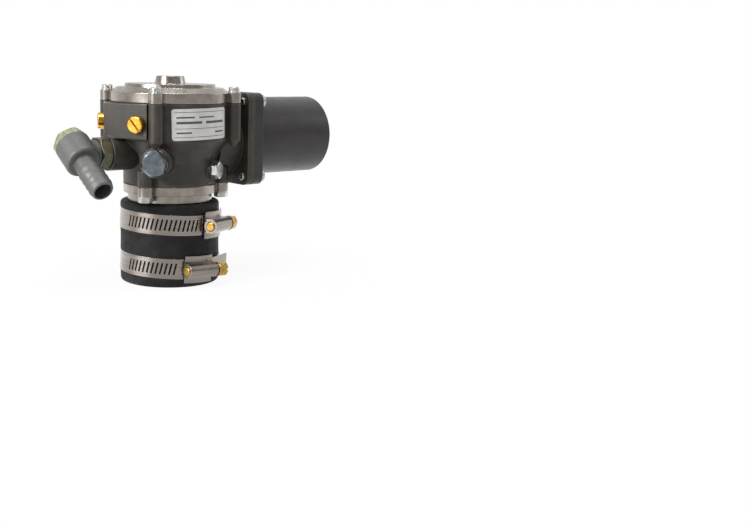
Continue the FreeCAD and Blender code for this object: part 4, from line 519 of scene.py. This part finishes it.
def merged_copy(name, node, keeps):
    """A closed copy of the faces of a solid whose corners all pass a test on their height.

    The loose triangles are joined, the faces that fail are taken away, and the two rings of
    open edges that this leaves are joined by a narrow wall.
    """
    mesh = nodes[node].data.copy()
    mesh.name = name
    shape = bmesh.new()
    shape.from_mesh(mesh)
    bmesh.ops.remove_doubles(shape, verts=shape.verts, dist=SAME_CORNER)
    failed = [face for face in shape.faces if not keeps([corner.co.z for corner in face.verts])]
    bmesh.ops.delete(shape, geom=failed, context="FACES")
    open_edges = [edge for edge in shape.edges if edge.is_boundary]
    if open_edges:
        bmesh.ops.bridge_loops(shape, edges=open_edges)
    bmesh.ops.recalc_face_normals(shape, faces=shape.faces)
    shape.to_mesh(mesh)
    shape.free()
    piece = bpy.data.objects.new(name, mesh)
    bpy.context.scene.collection.objects.link(piece)
    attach(piece, "mixer")
    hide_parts(node)
    return piece


def follows_valve(piece):
    """Give a piece its own copy of its mesh."""
    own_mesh(piece)


def valve_spring():
    """Coil spring."""
    piece = merged_copy("coil_spring", "air_valve_spring", lambda heights: True)
    follows_valve(piece)


def diaphragm():
    """Rubber sheet in two pieces: the rim between body and cover, and the web inside it.

    Both are sealed inside.
    """
    just_under = RIM_UNDERSIDE - SAME_HEIGHT
    rim = merged_copy("diaphragm_rim", "diaphragm", lambda heights: min(heights) > just_under)
    web = merged_copy("diaphragm_web", "diaphragm", lambda heights: min(heights) < just_under)
    follows_valve(web)


coupling_hose()
label_print()
valve_spring()
diaphragm()


# Stage, light and camera

WINDOW_WAY = (-1.0, 0.0, 0.0)
WINDOW_STARTS = 0.94
WINDOW_FULL = 0.98
WINDOW_GLOW = 1.05
VIEW_WAY = (0.5446, 0.8387, 0.0)
DARK_ENDS = -0.2
PALE_FULL = 0.6
DARK_SIDE = 0.4
PALE_SIDE = 0.95
SKY = 0.38
WHITE = (1, 1, 1, 1)

FLOOR_HALF = 4.0
SHADE_NEAR = 0.03
SHADE_FAR = 0.2
SHADE_SHARE = 0.92
FLOOR_GLOW = 1.15
MIRRORED_LIFT = 0.35


def surroundings(tree, direction):
    """How bright the room looks in a direction, as mirrors see it.

    The level part of the direction decides: dark on the camera's side, pale at the sides and
    behind, with one tall window at the left. Both shares follow the cosine of an angle.
    """
    level = add(tree, "VectorMath", {0: direction, 1: (1, 1, 0)}, operation="MULTIPLY")
    way = add(tree, "VectorMath", {0: level.outputs["Vector"]}, operation="NORMALIZE")
    window = add(tree, "VectorMath", {0: way.outputs["Vector"], 1: WINDOW_WAY},
                 operation="DOT_PRODUCT")
    tall = add(tree, "MapRange", {"Value": window.outputs["Value"], "From Min": WINDOW_STARTS,
                                  "From Max": WINDOW_FULL, "To Min": 0.0,
                                  "To Max": WINDOW_GLOW})
    behind = add(tree, "VectorMath", {0: way.outputs["Vector"], 1: VIEW_WAY},
                 operation="DOT_PRODUCT")
    pale = add(tree, "MapRange", {"Value": behind.outputs["Value"], "From Min": DARK_ENDS,
                                  "From Max": PALE_FULL, "To Min": DARK_SIDE,
                                  "To Max": PALE_SIDE})
    return add(tree, "Math", {0: tall.outputs[0], 1: pale.outputs[0]},
               operation="ADD").outputs[0]


def studio_floor():
    """White sweep: pure white to the camera, bright from below, with a faint contact shadow."""
    mesh = bpy.data.meshes.new("studio_floor")
    half = FLOOR_HALF
    mesh.from_pydata([(-half, -half, 0), (half, -half, 0), (half, half, 0), (-half, half, 0)],
                     [], [(0, 1, 2, 3)])
    floor = bpy.data.objects.new("studio_floor", mesh)
    bpy.context.scene.collection.objects.link(floor)
    material, tree, shader, place = finish("white_studio_floor", 0.0, 0.75)
    shader.inputs["Base Color"].default_value = linear("f2f1ef")
    shader.inputs["Specular IOR Level"].default_value = 0.2
    reach = add(tree, "VectorMath", {0: place}, operation="LENGTH").outputs["Value"]
    far = add(tree, "MapRange", {"Value": reach, "From Min": SHADE_NEAR,
                                 "From Max": SHADE_FAR, "To Min": SHADE_SHARE,
                                 "To Max": 1.0},
              interpolation_type="SMOOTHSTEP").outputs[0]
    rays = add(tree, "LightPath", {})
    seen = add(tree, "Math", {0: rays.outputs["Is Camera Ray"], 1: far},
               operation="MULTIPLY").outputs[0]
    glow = add(tree, "Math", {0: rays.outputs["Is Diffuse Ray"], 1: FLOOR_GLOW},
               operation="MULTIPLY").outputs[0]
    paper = add(tree, "Math", {0: surroundings(tree, place), 1: MIRRORED_LIFT},
                operation="ADD").outputs[0]
    mirrored = add(tree, "Math", {0: rays.outputs["Is Glossy Ray"], 1: paper},
                   operation="MULTIPLY").outputs[0]
    strength = add(tree, "Math", {0: rays.outputs["Is Camera Ray"], 1: glow},
                   operation="ADD").outputs[0]
    total = add(tree, "Math", {0: strength, 1: mirrored}, operation="ADD").outputs[0]
    share = add(tree, "Math", {0: seen, 1: rays.outputs["Is Glossy Ray"]},
                operation="ADD").outputs[0]
    blend = add(tree, "Math", {0: share, 1: rays.outputs["Is Diffuse Ray"]},
                operation="ADD").outputs[0]
    white = add(tree, "Emission", {"Color": WHITE, "Strength": total}).outputs[0]
    mixed = add(tree, "MixShader", {0: blend, 1: shader.outputs[0], 2: white}).outputs[0]
    tree.links.new(mixed, tree.nodes["Material Output"].inputs["Surface"])
    mesh.materials.append(material)


def studio_world():
    """White to the camera, an even sky for diffuse light, the room's pattern for mirrors."""
    world = bpy.data.worlds.new("studio_world")
    bpy.context.scene.world = world
    world.use_nodes = True
    tree = world.node_tree
    rays = add(tree, "LightPath", {})
    shown = add(tree, "Math", {0: rays.outputs["Is Camera Ray"],
                               1: rays.outputs["Is Transmission Ray"]}, operation="MAXIMUM")
    plain = tree.nodes["Background"]
    plain.inputs["Color"].default_value = WHITE
    plain.inputs["Strength"].default_value = SKY
    direction = add(tree, "TexCoord", {}).outputs["Generated"]
    mirrored = add(tree, "Background", {"Color": WHITE,
                                        "Strength": surroundings(tree, direction)}).outputs[0]
    white = add(tree, "Background", {"Color": WHITE, "Strength": 1.0}).outputs[0]
    glossy = add(tree, "MixShader", {0: rays.outputs["Is Glossy Ray"], 1: plain.outputs[0],
                                     2: mirrored}).outputs[0]
    lit = add(tree, "MixShader", {0: shown.outputs[0], 1: glossy, 2: white}).outputs[0]
    tree.links.new(lit, tree.nodes["World Output"].inputs["Surface"])


def lamp(name, azimuth, elevation, distance, size, power):
    """A square soft lamp that looks at the object's middle."""
    data = bpy.data.lights.new(name, "AREA")
    data.size = size
    data.energy = power
    light = bpy.data.objects.new(name, data)
    bpy.context.scene.collection.objects.link(light)
    middle = (cad_low + cad_high) / 2
    a, e = math.radians(azimuth), math.radians(elevation)
    back = Vector((math.sin(a) * math.cos(e), -math.cos(a) * math.cos(e), math.sin(e)))
    light.location = middle + back * distance
    light.rotation_mode = "QUATERNION"
    light.rotation_quaternion = (-back).to_track_quat("-Z", "Y")


# The photograph's frame, and the one camera that fits it

IMAGE_WIDTH = 748
IMAGE_HEIGHT = 523
FOCAL_PIXELS = 1010
EYE_DISTANCE = 0.656
EYE_HEIGHT = 0.1427
EYE_AZIMUTH = math.radians(-33)
HORIZON_X = 170
HORIZON_Y = 60
SHIFT_X = 0.12
SHIFT_Y = -0.05
ROLL = math.radians(0.3)


def camera():
    """The photograph's camera: a level eye whose picture is cropped towards one side.

    The eye looks at a point above the origin, and is then turned until that point falls
    on the pixel where the level eye has it, so only part of the crop is a shift.
    """
    eye = Vector((math.sin(EYE_AZIMUTH), -math.cos(EYE_AZIMUTH), 0)) * EYE_DISTANCE
    eye.z = EYE_HEIGHT
    aim = Vector((0, 0, (cad_low.z + cad_high.z) / 2))
    aim_y = HORIZON_Y + FOCAL_PIXELS * (EYE_HEIGHT - aim.z) / EYE_DISTANCE
    across = (HORIZON_X - IMAGE_WIDTH / 2 + SHIFT_X * IMAGE_WIDTH) / FOCAL_PIXELS
    up = (IMAGE_HEIGHT / 2 - aim_y + SHIFT_Y * IMAGE_WIDTH) / FOCAL_PIXELS
    ahead = Vector((0, 0, -1))
    looking = (aim - eye).to_track_quat("-Z", "Y") @ Quaternion((0, 0, 1), ROLL)
    data = bpy.data.cameras.new("camera")
    data.sensor_width = 36
    data.lens = FOCAL_PIXELS / IMAGE_WIDTH * data.sensor_width
    data.shift_x = SHIFT_X
    data.shift_y = SHIFT_Y
    data.clip_start = 0.01
    data.clip_end = 20
    viewer = bpy.data.objects.new("camera", data)
    bpy.context.scene.collection.objects.link(viewer)
    viewer.location = eye
    viewer.rotation_mode = "QUATERNION"
    viewer.rotation_quaternion = looking @ Vector((across, up, -1)).rotation_difference(ahead)
    bpy.context.scene.camera = viewer


studio_floor()
studio_world()
lamp("key_lamp", azimuth=-86, elevation=24, distance=0.9, size=0.24, power=7)
lamp("top_lamp", azimuth=-20, elevation=78, distance=0.9, size=0.4, power=3.5)
lamp("rim_lamp", azimuth=70, elevation=25, distance=1.1, size=0.4, power=1.2)
camera()
bpy.context.scene.view_settings.view_transform = "Standard"
